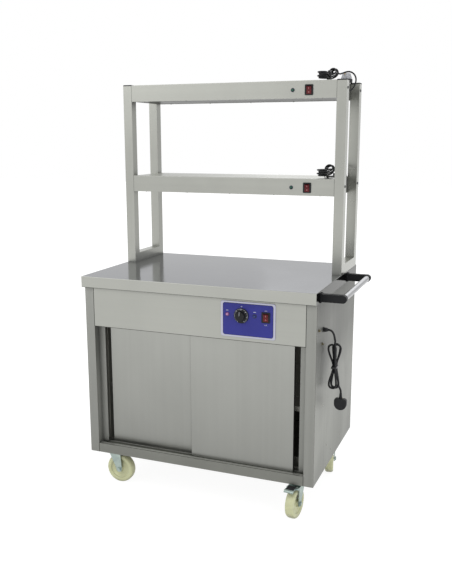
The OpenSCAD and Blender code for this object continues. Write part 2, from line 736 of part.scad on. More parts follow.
module middle_shelf() color([0.70, 0.71, 0.67]) shelf(middle_z1, middle_switch, middle_gland);

// Radiant base plate, which closes the shelf from below
module shelf_base(z) difference() {
    rim = 8;
    along_x(shelf_x0 + base_inset, shelf_x1 - base_inset)
        folded([[gantry_y0 + base_inset, z + 12], [gantry_y0 + base_inset, z],
            [gantry_y1 - base_inset, z], [gantry_y1 - base_inset, z + 12]]);
    for (x = [shelf_x0 + 60 : 200 : shelf_x1 - 50], y = [gantry_y0 + rim + 4, gantry_y1 - rim - 4])
        pin_z(z - 2, z + 2, x, y, 1.8);
}

module top_shelf_base() color([0.62, 0.62, 0.60]) shelf_base(post_z1 - shelf_edge + sheet * 1.5);

module middle_shelf_base() color([0.62, 0.62, 0.60]) shelf_base(middle_z1 - shelf_edge + sheet * 1.5);

// Flat hairpin elements clamped on each base plate
module shelf_heaters() color([0.32, 0.31, 0.30]) {
    r = 3.25;
    gap = 120;
    for (z1 = [post_z1, middle_z1]) {
        z = z1 - shelf_edge + sheet * 2 + r * 1.4 + 0.2;
        x0 = shelf_x0 + 120;
        x1 = shelf_x1 - 220;
        for (y = [-gap / 2, gap / 2]) {
            pin_x(x0, x1, shelf_middle_y + y, z, r);
            pin_x(x1 - 1, x1 + 30, shelf_middle_y + y, z, r * 1.4);
            for (x = [x0 + 40, (x0 + x1) / 2, x1 - 60])
                block(x, x + 14, shelf_middle_y + y - 10, shelf_middle_y + y + 10, z - r * 1.4 - 0.2, z - r + 0.5);
        }
        translate([x0, shelf_middle_y, z]) rotate(90)
            rotate_extrude(angle = 180, $fn = 48) translate([gap / 2, 0]) circle(r, $fn = 24);
    }
}

// ---------- handle ----------

// Moulded bracket: a base on the worktop's edge, an arm and a socket for the grip
module handle_arm(y, mouth) {
    base_x = top_x1;
    difference() {
        union() {
            along_y(y - arm_w / 2, y + arm_w / 2) {
                polygon([[base_x, grip_z - arm_h / 2 - 1], [base_x + 8, grip_z - arm_h / 2],
                    [grip_x, grip_z - arm_tip_r], [grip_x, grip_z + arm_tip_r],
                    [base_x + 8, grip_z + arm_h / 2], [base_x, grip_z + arm_h / 2 + 1]]);
                translate([grip_x, grip_z]) circle(arm_tip_r, $fn = 48);
            }
            block(base_x, base_x + 5, y - arm_w / 2 - 4, y + arm_w / 2 + 4, grip_z - 18, grip_z + 18);
        }
        pin_y(mouth > 0 ? y + arm_w / 2 - socket_depth : y - arm_w / 2 - 1,
            mouth > 0 ? y + arm_w / 2 + 1 : y - arm_w / 2 + socket_depth,
            grip_x, grip_z, grip_d / 2 + running_gap);
    }
}

module handle_brackets() color([0.09, 0.10, 0.11]) {
    handle_arm(front_arm_y, 1);
    handle_arm(rear_arm_y, -1);
}

module handle_tube() color([0.85, 0.85, 0.86]) difference() {
    y0 = front_arm_y + arm_w / 2 - socket_depth + 0.5;
    y1 = rear_arm_y - arm_w / 2 + socket_depth - 0.5;
    pin_y(y0, y1, grip_x, grip_z, grip_d / 2);
    pin_y(y0 - 1, y1 + 1, grip_x, grip_z, grip_d / 2 - 1.5);
}

// ---------- fasteners and small parts ----------

// Domed bolt through a post and a shelf's end, with its nut inside the shelf
module dome_bolt(r) {
    length = tube_w + sheet;
    rotate([0, 90, 0]) rotate_extrude($fn = 32)
        polygon([[0, -length - 7], [3, -length - 7], [3, -length - 5], [5.5, -length - 5],
            [5.5, -length], [3, -length], [3, 0], [r, 0], [r, 1], [r * 0.8, 2.6],
            [r * 0.45, 3.4], [0, bolt_head]]);
}

// Bolts that hold the shelves to the posts, and the castor plates to the channels
module assembly_bolts() color([0.25, 0.26, 0.27]) {
    for (z = [post_z1 - bolt_drop, middle_z1 - bolt_drop], y = [gantry_y0 + tube_w / 2, gantry_y1 - tube_w / 2]) {
        translate([top_x1, y, z]) dome_bolt(5.5);
        translate([top_x0, y, z]) mirror([1, 0, 0]) dome_bolt(5.5);
    }
    for (c = CASTORS) for (h = plate_holes()) translate([c.x + h.x, c.y + h.y, cab_z0 - castor_plate.z]) {
        translate([0, 0, -2.8]) cylinder(h = 2.8, r = 6.5, $fn = 32);
        cylinder(h = 16, r = 4, $fn = 32);
        translate([0, 0, castor_plate.z + 2]) rotate(30) cylinder(h = 6, r = 7.4, $fn = 6);
    }
}

module earth_terminal() color([0.78, 0.62, 0.28]) {
    for (p = EARTH_SCREWS) {
        pin_x(cab_x1, cab_x1 + 1, p.x, p.y, 6);
        translate([cab_x1 + 1, p.x, p.y]) rotate([0, 90, 0]) cylinder(h = 4, r = 5, $fn = 6);
        pin_x(cab_x1 - 10, cab_x1 + 8, p.x, p.y, 2.2);
    }
}

// Cord gland: flange, domed nut and the bore that the lead comes out of
module gland(at, l, lead_d) translate(at) rotate([0, 90, 0]) rotate_extrude($fn = 48)
    polygon([[lead_d / 2 + 0.4, -10], [6.6, -10], [6.6, 0], [gland_r, 0], [gland_r, 3], [8.6, 3],
        [8.6, l * 0.55], [7.4, l * 0.75], [5.2, l], [0, l], [0, l - 3], [lead_d / 2 + 0.4, l - 3]]);

module cord_glands() color([0.08, 0.08, 0.09]) {
    gland(main_gland, main_gland_l, main_lead_d);
    gland(top_gland, shelf_gland_l, shelf_lead_d);
    gland(middle_gland, shelf_gland_l, shelf_lead_d);
}

// ---------- castors ----------

function plate_holes() = [for (x = [-1, 1], y = [-1, 1]) [x * plate_hole_x / 2, y * plate_hole_y / 2]];

// Top plate with the fixed upper race and the kingpin
module castor_plates() color([0.58, 0.64, 0.63]) {
    for (c = CASTORS) translate([c.x, c.y, 0]) {
        difference() {
            translate([0, 0, cab_z0 - castor_plate.z]) linear_extrude(castor_plate.z)
                rounded(castor_plate.x, castor_plate.y, 8);
            for (h = plate_holes()) pin_z(cab_z0 - 10, cab_z0 + 5, h.x, h.y, 4.25);
        }
        rotate_extrude($fn = 64)
            polygon([[0, cab_z0 - 1], [0, crown_z - 8], [4, crown_z - 8], [kingpin_r + 3, crown_z - 6.5],
                [kingpin_r + 3, crown_z - 0.4], [kingpin_r, crown_z - 0.4], [kingpin_r, race_z + 1.4],
                [16, race_z + 1.4], [17, race_z - 1], [22, race_z - 1],
                [25, race_z + 3], [25, cab_z0 - castor_plate.z + 0.1], [25, cab_z0 - 1]]);
    }
}

// Outline of a fork leg: upright behind, raked in front, with a round end at the axle
module leg_outline() {
    end_r = 13;
    top_z = crown_z + 0.1;
    polygon([[-6, top_z], [crown_reach, top_z], [trail + end_r, axle_z + 14], [trail + end_r, axle_z],
        [trail - end_r, axle_z], [trail - end_r - 1, axle_z + 6]]);
    translate([trail, axle_z]) circle(end_r, $fn = 48);
}

module fork(c) translate([c.x, c.y, 0]) rotate(c[2]) {
    difference() {
        union() {
            // crown, lower race and the two legs
            rotate_extrude($fn = 64)
                polygon([[kingpin_r + running_gap, crown_z], [crown_r, crown_z], [crown_r, crown_z + 3],
                    [27, race_z], [26, race_z + 2], [25.4, race_z + 2], [24, race_z - 1.6],
                    [20, race_z - 3], [14, race_z - 3], [13, race_z - 1],
                    [kingpin_r + running_gap, race_z - 1]]);
            for (side = [-1, 1])
                along_y(side * (leg_y + leg_t / 2) - leg_t / 2, side * (leg_y + leg_t / 2) + leg_t / 2)
                    leg_outline();
            block(-18, crown_reach, -leg_y - leg_t, leg_y + leg_t, crown_z, crown_z + 3);
        }
        pin_z(crown_z - 20, race_z + 20, 0, 0, kingpin_r + running_gap);
    }
    // axle bolt with its head and nut
    pin_y(-leg_y - leg_t - 0.5, leg_y + leg_t + 0.5, trail, axle_z, axle_r);
    translate([trail, -leg_y - leg_t + 0.1, axle_z]) rotate([90, 0, 0]) cylinder(h = 5, r = 8.5, $fn = 6);
    translate([trail, leg_y + leg_t + 5, axle_z]) rotate([90, 0, 0]) cylinder(h = 5.1, r = 8.5, $fn = 6);
    if (c[3]) pedal_pivot();
}

// Ears on the crown that hold the brake pedal's pin
module pedal_pivot() {
    for (side = [-1, 1]) difference() {
        union() {
            block(crown_reach - 8, pedal_x, side * (leg_y + 2) - 2, side * (leg_y + 2) + 2, pedal_z - 4, crown_z + 3);
            pin_y(side * (leg_y + 2) - 2, side * (leg_y + 2) + 2, pedal_x, pedal_z - 1, 5);
        }
        pin_y(-40, 40, pedal_x, pedal_z - 1, pedal_pin_r + running_gap);
    }
}

// Wheel: crowned tread, recessed web with ribs, hub and bore
module wheel(c) translate([c.x, c.y, 0]) rotate(c[2]) translate([trail, 0, axle_z]) {
    r = wheel_d / 2;
    w = wheel_w / 2;
    ribs = 8;
    rotate([90, 0, 0]) rotate_extrude($fn = 96)
        polygon([[axle_r + running_gap, -hub_w / 2], [14, -hub_w / 2], [15, -w + 4], [17, -6],
            [40, -6], [43, -w + 1], [r - 6, -w], [r - 2, -w + 4], [r - 0.5, -w + 9], [r, -5],
            [r, 5], [r - 0.5, w - 9], [r - 2, w - 4], [r - 6, w], [43, w - 1], [40, 6],
            [17, 6], [15, w - 4], [14, hub_w / 2], [axle_r + running_gap, hub_w / 2]]);
    for (a = [0 : 360 / ribs : 359]) rotate([0, a, 0])
        block(12, 42.5, -w + 5.5, w - 5.5, -1.5, 1.5);
}

// Steel pedal on a cross pin, with a turned-down lip
module pedal(c) translate([c.x, c.y, 0]) rotate(c[2]) {
    z = pedal_z - 1;
    inner = leg_y - 0.4;
    pin_y(-leg_y - 3.8, leg_y + 3.8, pedal_x, z, pedal_pin_r);
    difference() {
        union() {
            pin_y(-inner, inner, pedal_x, z, 5);
            along_y(-pedal_w / 2, pedal_w / 2)
                polygon([[pedal_x - 2, z - 3], [pedal_x + 6, z + 3], [pedal_reach - 8, z + 6],
                    [pedal_reach - 3, z + 2], [pedal_reach - 1.6, z - 1], [pedal_reach, z - 1],
                    [pedal_reach, z + 3], [pedal_reach - 5, z + 9.5], [pedal_reach - 12, z + 11.5],
                    [pedal_x + 10, z + 11.5], [pedal_x - 2, z + 5]]);
        }
        // the front corners are taken off, so that the pedal widens forwards
        for (side = [-1, 1]) translate([pedal_x - 4, side * (pedal_w / 2 + 6), z - 20])
            rotate(side * -8) translate([-20, side > 0 ? -6 : -6, 0]) cube([40, 12, 40]);
    }
}

module front_left_fork() color([0.60, 0.66, 0.65]) fork(CASTORS[0]);

module front_right_fork() color([0.60, 0.66, 0.65]) fork(CASTORS[1]);

module rear_left_fork() color([0.60, 0.66, 0.65]) fork(CASTORS[2]);

module rear_right_fork() color([0.60, 0.66, 0.65]) fork(CASTORS[3]);

module front_left_wheel() color([0.80, 0.82, 0.62]) wheel(CASTORS[0]);

module front_right_wheel() color([0.80, 0.82, 0.62]) wheel(CASTORS[1]);

module rear_left_wheel() color([0.80, 0.82, 0.62]) wheel(CASTORS[2]);

module rear_right_wheel() color([0.80, 0.82, 0.62]) wheel(CASTORS[3]);

module front_brake_pedal() color([0.14, 0.15, 0.16]) pedal(CASTORS[1]);

module rear_brake_pedal() color([0.14, 0.15, 0.16]) pedal(CASTORS[3]);

// ---------- leads ----------

function unit(v) = v / norm(v);
function smooth(x) = x <= 0 ? 0 : x >= 1 ? 1 : x * x * (3 - 2 * x);

// Direction of a line of points at point i
function heading(p, i) = unit(p[min(i + 1, len(p) - 1)] - p[max(i - 1, 0)]);

// Tube along points; side is a direction that the tube never runs along
module tube(p, d, sides, side) {
    n = len(p);
    rings = [for (i = [0 : n - 1])
        let (t = heading(p, i), a = unit(cross(t, side)), b = cross(a, t))
        for (k = [0 : sides - 1]) p[i] + d / 2 * (cos(360 * k / sides) * a + sin(360 * k / sides) * b)];
    walls = [for (i = [0 : n - 2], k = [0 : sides - 1])
        let (a = i * sides + k, b = i * sides + (k + 1) % sides)
        each [[a, a + sides, b], [b, a + sides, b + sides]]];
    last = (n - 1) * sides;
    ends = [for (k = [1 : sides - 2]) each [[0, k, k + 1], [last, last + k + 1, last + k]]];
    polyhedron(points = rings, faces = concat(walls, ends));
}

// Points between the route's own points, on a smooth curve through them
function curve_point(p, i, f) =
    let (a = p[max(i - 1, 0)], b = p[i], c = p[i + 1], e = p[min(i + 2, len(p) - 1)])
    0.5 * (2 * b + (c - a) * f + (2 * a - 5 * b + 4 * c - e) * f * f + (3 * b - 3 * c + e - a) * f * f * f);
function curve(p, steps) = concat(
    [for (i = [0 : len(p) - 2], k = [0 : steps - 1]) curve_point(p, i, k / steps)], [p[len(p) - 1]]);

// A hank in its own frame [across, along, through], drawn in at the waist. Each loop has four
// quarters: a run down, the lower end, a run up that climbs to the next layer, and the upper end.
function hank_point(loop, d, up, down, r, top, low, levels) =
    let (n = floor(loop), quarter = floor((loop - n) * 4), f = (loop - n) * 4 - quarter,
        layer = n + (quarter < 2 ? 0 : quarter > 2 ? 1 : smooth(f * (up + down) / down)),
        along = quarter == 0 ? up - (up + down) * f : quarter == 2 ? (up + down) * f - down
            : quarter == 1 ? -down - r * sin(180 * f) : up + r * sin(180 * f),
        spread = smooth(along > 0 ? along / up : -along / down),
        reach = (d + waist_gap) / 2 * (1 - spread) + r * spread,
        across = quarter == 0 ? reach : quarter == 2 ? -reach
            : (quarter == 1 ? 1 : -1) * r * cos(180 * f),
        shift = along > 0 ? top[n + (quarter < 2 ? 0 : 1)] : low[n])
    [across + shift * spread, along, (layer - (levels - 1) / 2) * (d + layer_gap)];

function main_point(loop) = hank_point(loop, main_lead_d, main_up, main_down, main_r,
    main_top_shift, main_low_shift, main_levels);

function shelf_point(loop) = hank_point(loop, shelf_lead_d, shelf_up, shelf_down, shelf_r,
    shelf_top_shift, shelf_low_shift, shelf_levels);

// Least gap of a tube to itself, measured on its points past the first few neighbours
function least_gap(p, d, skip) =
    min([for (i = [0 : len(p) - skip - 1], j = [i + skip : len(p) - 1]) norm(p[i] - p[j])]) - d;

// The cupboard's hank hangs: across is X, along is Z and the layers lie behind each other
function main_hank_points(rings) =
    let (last_loop = main_loops - 0.0001, first = main_point(0), last = main_point(last_loop))
    [for (q = concat(
        [for (k = [0 : 2]) first + [0, main_lead_in * (3 - k) / 3, 0]],
        [for (i = [0 : main_loops * rings]) main_point(min(i / rings, last_loop))],
        [for (k = [1 : 6]) last + [main_tail_shift * smooth((k - 0.5) / 4.5), -main_tail * k / 6, 0]]))
        main_hank_at + [q.x, q.z, q.y]];

// Bends the far lobe up: beyond curl_from the layers turn about a line above the shelf
function curled(q, height) =
    let (s = q.y - curl_from, a = min(s / curl_r * 180 / PI, curl_max),
        past = max(0, s - curl_max * curl_r * PI / 180))
    s < 0 ? [q.x, q.y, height] : [q.x,
        curl_from + (curl_r - height) * sin(a) + past * cos(curl_max),
        curl_r - (curl_r - height) * cos(a) + past * sin(curl_max)];

// A shelf's hank: the first and the last run stay flat, on top and below
function shelf_hank_points(at, turn, rings) =
    let (last_loop = shelf_loops - 0.0001, first = shelf_point(0), last = shelf_point(last_loop),
        way = [cos(turn), sin(turn), 0], left = [-sin(turn), cos(turn), 0])
    [for (q = concat(
        [for (k = [0 : 1]) concat(first + [0, shelf_lead_in * (2 - k) / 2, 0], 0)],
        [for (i = [0 : shelf_loops * rings]) let (t = min(i / rings, last_loop))
            concat(shelf_point(t), t > 0.125 && t < shelf_loops - 0.125 ? 1 : 0)],
        [for (k = [1 : 3]) concat(last + [0, shelf_tail * k / 3, 0], 0)]))
        let (height = shelf_lead_d / 2 + (shelf_levels - 1) / 2 * (shelf_lead_d + layer_gap) - q.z,
            c = q[3] == 1 ? curled(q, height) : [q.x, q.y, height])
        at + way * c.y + left * c.x + [0, 0, c.z]];

main_points = main_hank_points(24);
top_points = shelf_hank_points(top_hank_at, top_hank_turn, 24);
middle_points = shelf_hank_points(middle_hank_at, middle_hank_turn, 24);
echo(main_hank_gap = least_gap(main_hank_points(72), main_lead_d, 22),
    shelf_hank_gap = least_gap(shelf_hank_points(top_hank_at, top_hank_turn, 72), shelf_lead_d, 22));

// Route of a free stretch: from its gland to the hank, with its last part straight
function stretch(from, route, steps, hank_points, straight) =
    let (to = hank_points[0], back = (to - hank_points[1]) / norm(to - hank_points[1]))
    concat(curve(concat([for (q = route) from + q], [to + back * straight * 2]), steps),
        [to + back * straight, to]);

module main_cord() color([0.10, 0.10, 0.11])
    tube(stretch(main_gland + [main_gland_l, 0, 0], main_route, 2, main_points, 7),
        main_lead_d, 10, [0, 1, 0.2]);

module main_hank() color([0.10, 0.10, 0.11]) tube(main_points, main_lead_d, 6, [0, 1, 0]);

module top_cord() color([0.10, 0.10, 0.11])
    tube(stretch(top_gland + [shelf_gland_l, 0, 0], top_route, 3, top_points, 7),
        shelf_lead_d, 8, [0, -0.6, 0.8]);

module middle_cord() color([0.10, 0.10, 0.11])
    tube(stretch(middle_gland + [shelf_gland_l, 0, 0], middle_route, 2, middle_points, 7),
        shelf_lead_d, 8, [0, -0.6, 0.8]);

// A direction that a shelf's hank never runs along
function lobe_side(turn) = [-0.6 * cos(turn), -0.6 * sin(turn), 0.8];

module top_hank() color([0.10, 0.10, 0.11]) tube(top_points, shelf_lead_d, 6, lobe_side(top_hank_turn));

module middle_hank() color([0.10, 0.10, 0.11])
    tube(middle_points, shelf_lead_d, 6, lobe_side(middle_hank_turn));

// Outline of a plug's body from above, with the lead coming in at the origin from +Y
module plug_outline(w, l, r) {
    translate([0, -l + w / 2]) circle(w / 2, $fn = 64);
    translate([-w / 2, -l + w / 2]) square([w, l - w / 2 - r]);
    translate([-w / 2 + r, -r]) square([w - 2 * r, r]);
    for (x = [-1, 1]) translate([x * (w / 2 - r), -r]) circle(r, $fn = 24);
}

// Plug with a ribbed strain relief. The lead comes in along -Y at z = 0, and the pins point to +Z.
module plug(d, below, above) {
    w = 48;
    l = 46;
    sleeve = 22;
    // the sleeve grows up to the shelf or the plug's own side
    grow = min(3, below - d / 2 - 0.1) / 3;
    rotate([90, 0, 0]) rotate_extrude($fn = 32)
        polygon([[0, 0], [d / 2 + grow, 0], [d / 2 + 1.2 * grow, 3], [d / 2 + 0.8 * grow, 5],
            [d / 2 + 1.8 * grow, 8], [d / 2 + 1.4 * grow, 10], [d / 2 + 2.4 * grow, 13],
            [d / 2 + 2 * grow, 15], [d / 2 + 3 * grow, 19], [d / 2 + 3 * grow, sleeve + 3],
            [0, sleeve + 3]]);
    translate([0, -sleeve, -below]) linear_extrude(below + above) plug_outline(w, l, 9);
    translate([0, -sleeve, -below + 1.5]) linear_extrude(below + above - 3) translate([0, 0.5])
        plug_outline(w + 1.5, l + 1, 10);
    translate([0, -sleeve, above - 0.1]) {
        for (x = [-11.1, 11.1]) block(x - 3.15, x + 3.15, -33, -29, 0, 17.7);
        block(-2, 2, -15, -7, 0, 22.7);
    }
}

module main_plug() color([0.09, 0.09, 0.10]) translate(main_points[len(main_points) - 1])
    mirror([0, 1, 0]) rotate([90, 0, 0]) plug(main_lead_d, 10, 9);

// The plug at the end of a shelf's hank, on its back beside the hank
module shelf_plug(points, turn) translate(points[len(points) - 1])
    rotate(turn + 90) plug(shelf_lead_d, shelf_lead_d / 2 + hank_lift, 10);

module top_plug() color([0.55, 0.56, 0.57]) {
    shelf_plug(top_points, top_hank_turn);
    // cap over the pins
    translate(top_points[len(top_points) - 1] + [0, 0, 10]) rotate(top_hank_turn + 90) difference() {
        pin_cap(36, 34, 24, 0);
        pin_cap(33, 31, 22.8, 1);
    }
}

// Cap over the pins: four sides that lean in, a flat top
module pin_cap(w, l, h, drop) translate([0, -22 - 21, 0]) difference() {
    translate([0, 0, -drop]) linear_extrude(h + drop) rounded(w, l, 4);
    for (side = [-1, 1]) {
        translate([side * w / 2, 0, 4]) rotate([0, side * -16, 0])
            translate([side * 20, 0, 20]) cube([40, l + 10, 50], center = true);
        translate([0, side * l / 2, 4]) rotate([side * 12, 0, 0])
            translate([0, side * 20, 20]) cube([w + 10, 40, 50], center = true);
    }
}

module middle_plug() color([0.09, 0.09, 0.10]) shelf_plug(middle_points, middle_hank_turn);

// Ties round the waists of the hanks
module tie(across, through, t = 1.2, w = 7) linear_extrude(w, center = true) difference() {
    rounded(across + 2 * t, through + 2 * t, 3);
    rounded(across, through, 2);
}

module cord_ties() color([0.12, 0.12, 0.13]) {
    main_through = main_levels * (main_lead_d + layer_gap) + 0.8;
    shelf_pitch = shelf_lead_d + layer_gap;
    shelf_through = shelf_levels * shelf_pitch - layer_gap + 0.2;
    translate(main_hank_at) tie(2 * main_lead_d + 2.4, main_through);
    for (h = [[top_hank_at, top_hank_turn], [middle_hank_at, middle_hank_turn]])
        translate(h[0] + [0, 0, shelf_lead_d / 2 + (shelf_levels - 1) / 2 * shelf_pitch])
            rotate(h[1]) rotate([90, 0, 90]) tie(2 * shelf_lead_d + 2.4, shelf_through);
}

// ---------- pieces ----------

worktop();
left_side_panel();
right_side_panel();
back_panel();
front_fascia();
top_door_guide();
bottom_rail();
liner_sides();
liner_back();
liner_top();
cupboard_floor();
castor_channels();
inner_shelf();
heating_element();
element_guard();
control_plate();
control_overlay();
thermostat_body();
pilot_lamps();
rocker_housings();
cord_glands();
earth_terminal();
handle_brackets();
handle_tube();
left_end_frame();
right_end_frame();
post_caps();
top_shelf();
middle_shelf();
top_shelf_base();
middle_shelf_base();
shelf_heaters();
assembly_bolts();
castor_plates();
left_door();
right_door();
thermostat_knob();
main_rocker();
top_rocker();
middle_rocker();
front_left_fork();
front_right_fork();
rear_left_fork();
rear_right_fork();
front_left_wheel();
front_right_wheel();
rear_left_wheel();
rear_right_wheel();
front_brake_pedal();
rear_brake_pedal();
main_cord();
main_hank();
main_plug();
top_cord();
top_hank();
top_plug();
middle_cord();
middle_hank();
middle_plug();
cord_ties();
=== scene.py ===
"""Looks of a mobile heated serving trolley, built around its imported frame. Metres."""

from math import cos, radians, sin, tau

import bmesh
import bpy
from bpy.props import FloatProperty, FloatVectorProperty, IntProperty, PointerProperty
from bpy.types import NodeSocket, Operator, Panel, PropertyGroup
from mathutils import Matrix, Vector


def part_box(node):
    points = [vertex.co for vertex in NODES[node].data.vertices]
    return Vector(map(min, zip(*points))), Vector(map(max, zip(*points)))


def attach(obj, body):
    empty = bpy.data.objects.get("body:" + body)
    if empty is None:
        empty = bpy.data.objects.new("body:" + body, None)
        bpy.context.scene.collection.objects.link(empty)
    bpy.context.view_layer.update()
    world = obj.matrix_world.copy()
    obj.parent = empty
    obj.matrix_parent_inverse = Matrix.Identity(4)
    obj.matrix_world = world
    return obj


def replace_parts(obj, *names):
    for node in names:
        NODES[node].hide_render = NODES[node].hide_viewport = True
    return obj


bl_info = {
    "name": "Heated serving trolley",
    "version": (1, 0, 0),
    "blender": (4, 5, 0),
    "location": "3D View > Sidebar > Trolley",
    "description": "Dresses the frame of a heated serving trolley with its leads, fittings and finishes",
    "category": "Object",
}

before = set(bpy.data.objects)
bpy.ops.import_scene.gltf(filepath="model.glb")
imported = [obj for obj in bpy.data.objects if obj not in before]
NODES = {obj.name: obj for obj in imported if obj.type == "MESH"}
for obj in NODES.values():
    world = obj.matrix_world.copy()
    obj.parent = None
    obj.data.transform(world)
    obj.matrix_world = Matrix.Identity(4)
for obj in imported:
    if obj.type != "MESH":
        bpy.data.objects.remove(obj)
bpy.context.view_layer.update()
MM = 0.001


def linear(red, green, blue):
    """Linear colour from the usual 0 to 255 steps."""
    parts = [c / 255 for c in (red, green, blue)]
    return tuple(c / 12.92 if c <= 0.04045 else ((c + 0.055) / 1.055) ** 2.4 for c in parts)


# ---------- places taken from the frame ----------

TOP_LOW, TOP_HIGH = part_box("worktop")
SHELVES = {"top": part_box("top_shelf"), "middle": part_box("middle_shelf")}
SIDE_LOW, SIDE_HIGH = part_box("right_side_panel")
LEFT_SIDE_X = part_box("left_side_panel")[0].x
PANEL_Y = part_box("control_overlay")[0].y
X0, X1, Y0 = TOP_LOW.x, TOP_HIGH.x, TOP_LOW.y
# lamps and switches on the control panel, and how far below a shelf's top its own ones stand
RED_LAMP_X, BLUE_LAMP_X, PANEL_LAMP_Z = X0 + 0.642, X0 + 0.754, 0.815
SHELF_LAMP_X, SHELF_DROP = X0 + 0.778, 0.037
# the panel in front of each rocker, and the height of its pivot
ROCKERS = {"main_rocker": (PANEL_Y, 0.813),
           **{shelf + "_rocker": (low.y, high.z - SHELF_DROP)
              for shelf, (low, high) in SHELVES.items()}}
# the castors: place from the worktop's front left corner in millimetres, heading, pedal
CASTORS = (("front_left", 78, 82, 0, None), ("front_right", 922, 82, -96, "front_brake_pedal"),
           ("rear_left", 62, 544, -15, None), ("rear_right", 938, 544, -77, "rear_brake_pedal"))


# ---------- settings ----------


def colour(name, text, value):
    return FloatVectorProperty(name=name, description=text, subtype="COLOR", size=3,
                               min=0, max=1, default=linear(*value))


def number(name, text, value, **more):
    return FloatProperty(name=name, description=text, default=value, **more)


def length(name, text, value):
    return number(name, text, value, unit="LENGTH", min=0)


def share(name, text, value):
    return number(name, text, value, subtype="FACTOR", min=0, max=1)


def angle(name, text, degrees):
    return number(name, text, radians(degrees), subtype="ANGLE")


class TrolleyCamera(PropertyGroup):
    """Where the trolley is seen from"""
    place: FloatVectorProperty(name="Place", description="Where the camera stands",
                               subtype="XYZ", unit="LENGTH", default=(1.12504, -2.94742, 1.48508))
    turn: angle("Turn", "Turn to the left of the depth axis", 21.52)
    tilt: angle("Tilt", "Tilt below the horizon", 11.67)
    roll: angle("Roll", "Turn about the line of sight", -0.09)
    lens: number("Lens", "Focal length in millimetres on a 36 mm sensor", 46.08, min=10)


class TrolleyLeads(PropertyGroup):
    """The three mains leads, their hanks and plugs"""
    main_d: length("Main lead", "Diameter of the cupboard's lead", 8 * MM)
    shelf_d: length("Shelf lead", "Diameter of the shelves' leads", 6.6 * MM)
    rings: IntProperty(name="Rings", description="Points in one loop of a hank", min=24, default=72)
    sheath: colour("Sheath", "Colour of the leads", (26, 27, 29))
    cap: colour("Pin cap", "Colour of the cap over the top plug's pins", (176, 178, 182))
    brass: colour("Pins", "Colour of the plugs' brass pins", (196, 164, 96))


class TrolleyMetal(PropertyGroup):
    """Sheet metal and tubes"""
    worktop: colour("Worktop", "Polished worktop", (146, 148, 152))
    fascia: colour("Fascia", "Brushed front panels and shelf edges", (165, 166, 160))
    door: colour("Doors", "Brushed sliding doors", (164, 165, 160))
    rail: colour("Bottom rail", "Track below the doors", (120, 121, 115))
    side: colour("Sides", "Side panels", (151, 152, 147))
    inside: colour("Inside", "Liner, floor and shelf inside the cupboard", (158, 158, 150))
    grip: colour("Grip", "Bright tube of the push handle", (168, 169, 172))
    zinc: colour("Zinc", "Plated castor forks and plates", (160, 174, 171))
    brushing: share("Brushing", "Roughness of the brushed sheets", 0.34)
    polish: share("Polish", "Roughness of the polished worktop", 0.14)


class TrolleyFittings(PropertyGroup):
    """Controls, handle brackets and castors"""
    blue: colour("Control panel", "Printed film on the control panel", (44, 47, 134))
    border: colour("Panel border", "Satin border of the control panel", (176, 176, 192))
    plastic: colour("Black plastic", "Knob, bezels, caps and glands", (26, 27, 29))
    bracket: colour("Brackets", "Moulded brackets of the push handle", (23, 24, 26))
    rocker: colour("Rockers", "Translucent rockers of the switches", (92, 8, 17))
    # the lens's own pink, made paler as a painted highlight in its middle
    red_lens: colour("Red lens", "Pilot lamp at the left of the panel", (196, 140, 186))
    blue_lens: colour("Blue lens", "Pilot lamp beside the thermostat", (40, 58, 128))
    green_lens: colour("Green lens", "Pilot lamps of the shelves", (24, 84, 62))
    wheel: colour("Wheels", "Cream nylon of the wheels", (209, 211, 170))
    marks: colour("Marks", "Printed scale and switch marks", (208, 210, 222))


class TrolleyStage(PropertyGroup):
    """Floor, surroundings and lamps"""
    backdrop: colour("Backdrop", "Colour of the surroundings", (255, 255, 255))
    floor: colour("Floor", "Colour of the floor under the lamps", (236, 236, 236))
    shadow: share("Shadow", "How much of the floor's own shading shows", 0.24)
    ambient: number("Ambient", "Strength of the light from all around", 0.7, min=0)
    key: number("Key", "Power of the large lamp", 66, unit="POWER", min=0)
    fill: number("Fill", "Power of the lamp on the other side", 32, unit="POWER", min=0)


class TrolleySettings(PropertyGroup):
    """All settings of the trolley"""
    camera: PointerProperty(type=TrolleyCamera)
    leads: PointerProperty(type=TrolleyLeads)
    metal: PointerProperty(type=TrolleyMetal)
    fittings: PointerProperty(type=TrolleyFittings)
    stage: PointerProperty(type=TrolleyStage)


# ---------- materials ----------

# how far a face has to look along an axis, or against it, to count as turned that way
TOWARDS, AGAINST = (0.6, 0.95), (-0.95, -0.6)
# reach of the painted shade in seams and corners
CORNER_SHADE_REACH = 22 * MM


def settle(target, **values):
    """Sets several properties and gives back what has them."""
    for name, value in values.items():
        setattr(target, name, value)
    return target


def feed(tree, node, inputs):
    """Sets the inputs of a node to values, or links them to outputs."""
    for socket, value in inputs.items():
        if isinstance(value, NodeSocket):
            tree.links.new(value, node.inputs[socket])
        else:
            node.inputs[socket].default_value = value


def add(tree, kind, inputs, out=0, **settings):
    """Adds a shader node and gives back one of its outputs."""
    made = settle(tree.nodes.new("ShaderNode" + kind), **settings)
    feed(tree, made, inputs)
    return made.outputs[out]


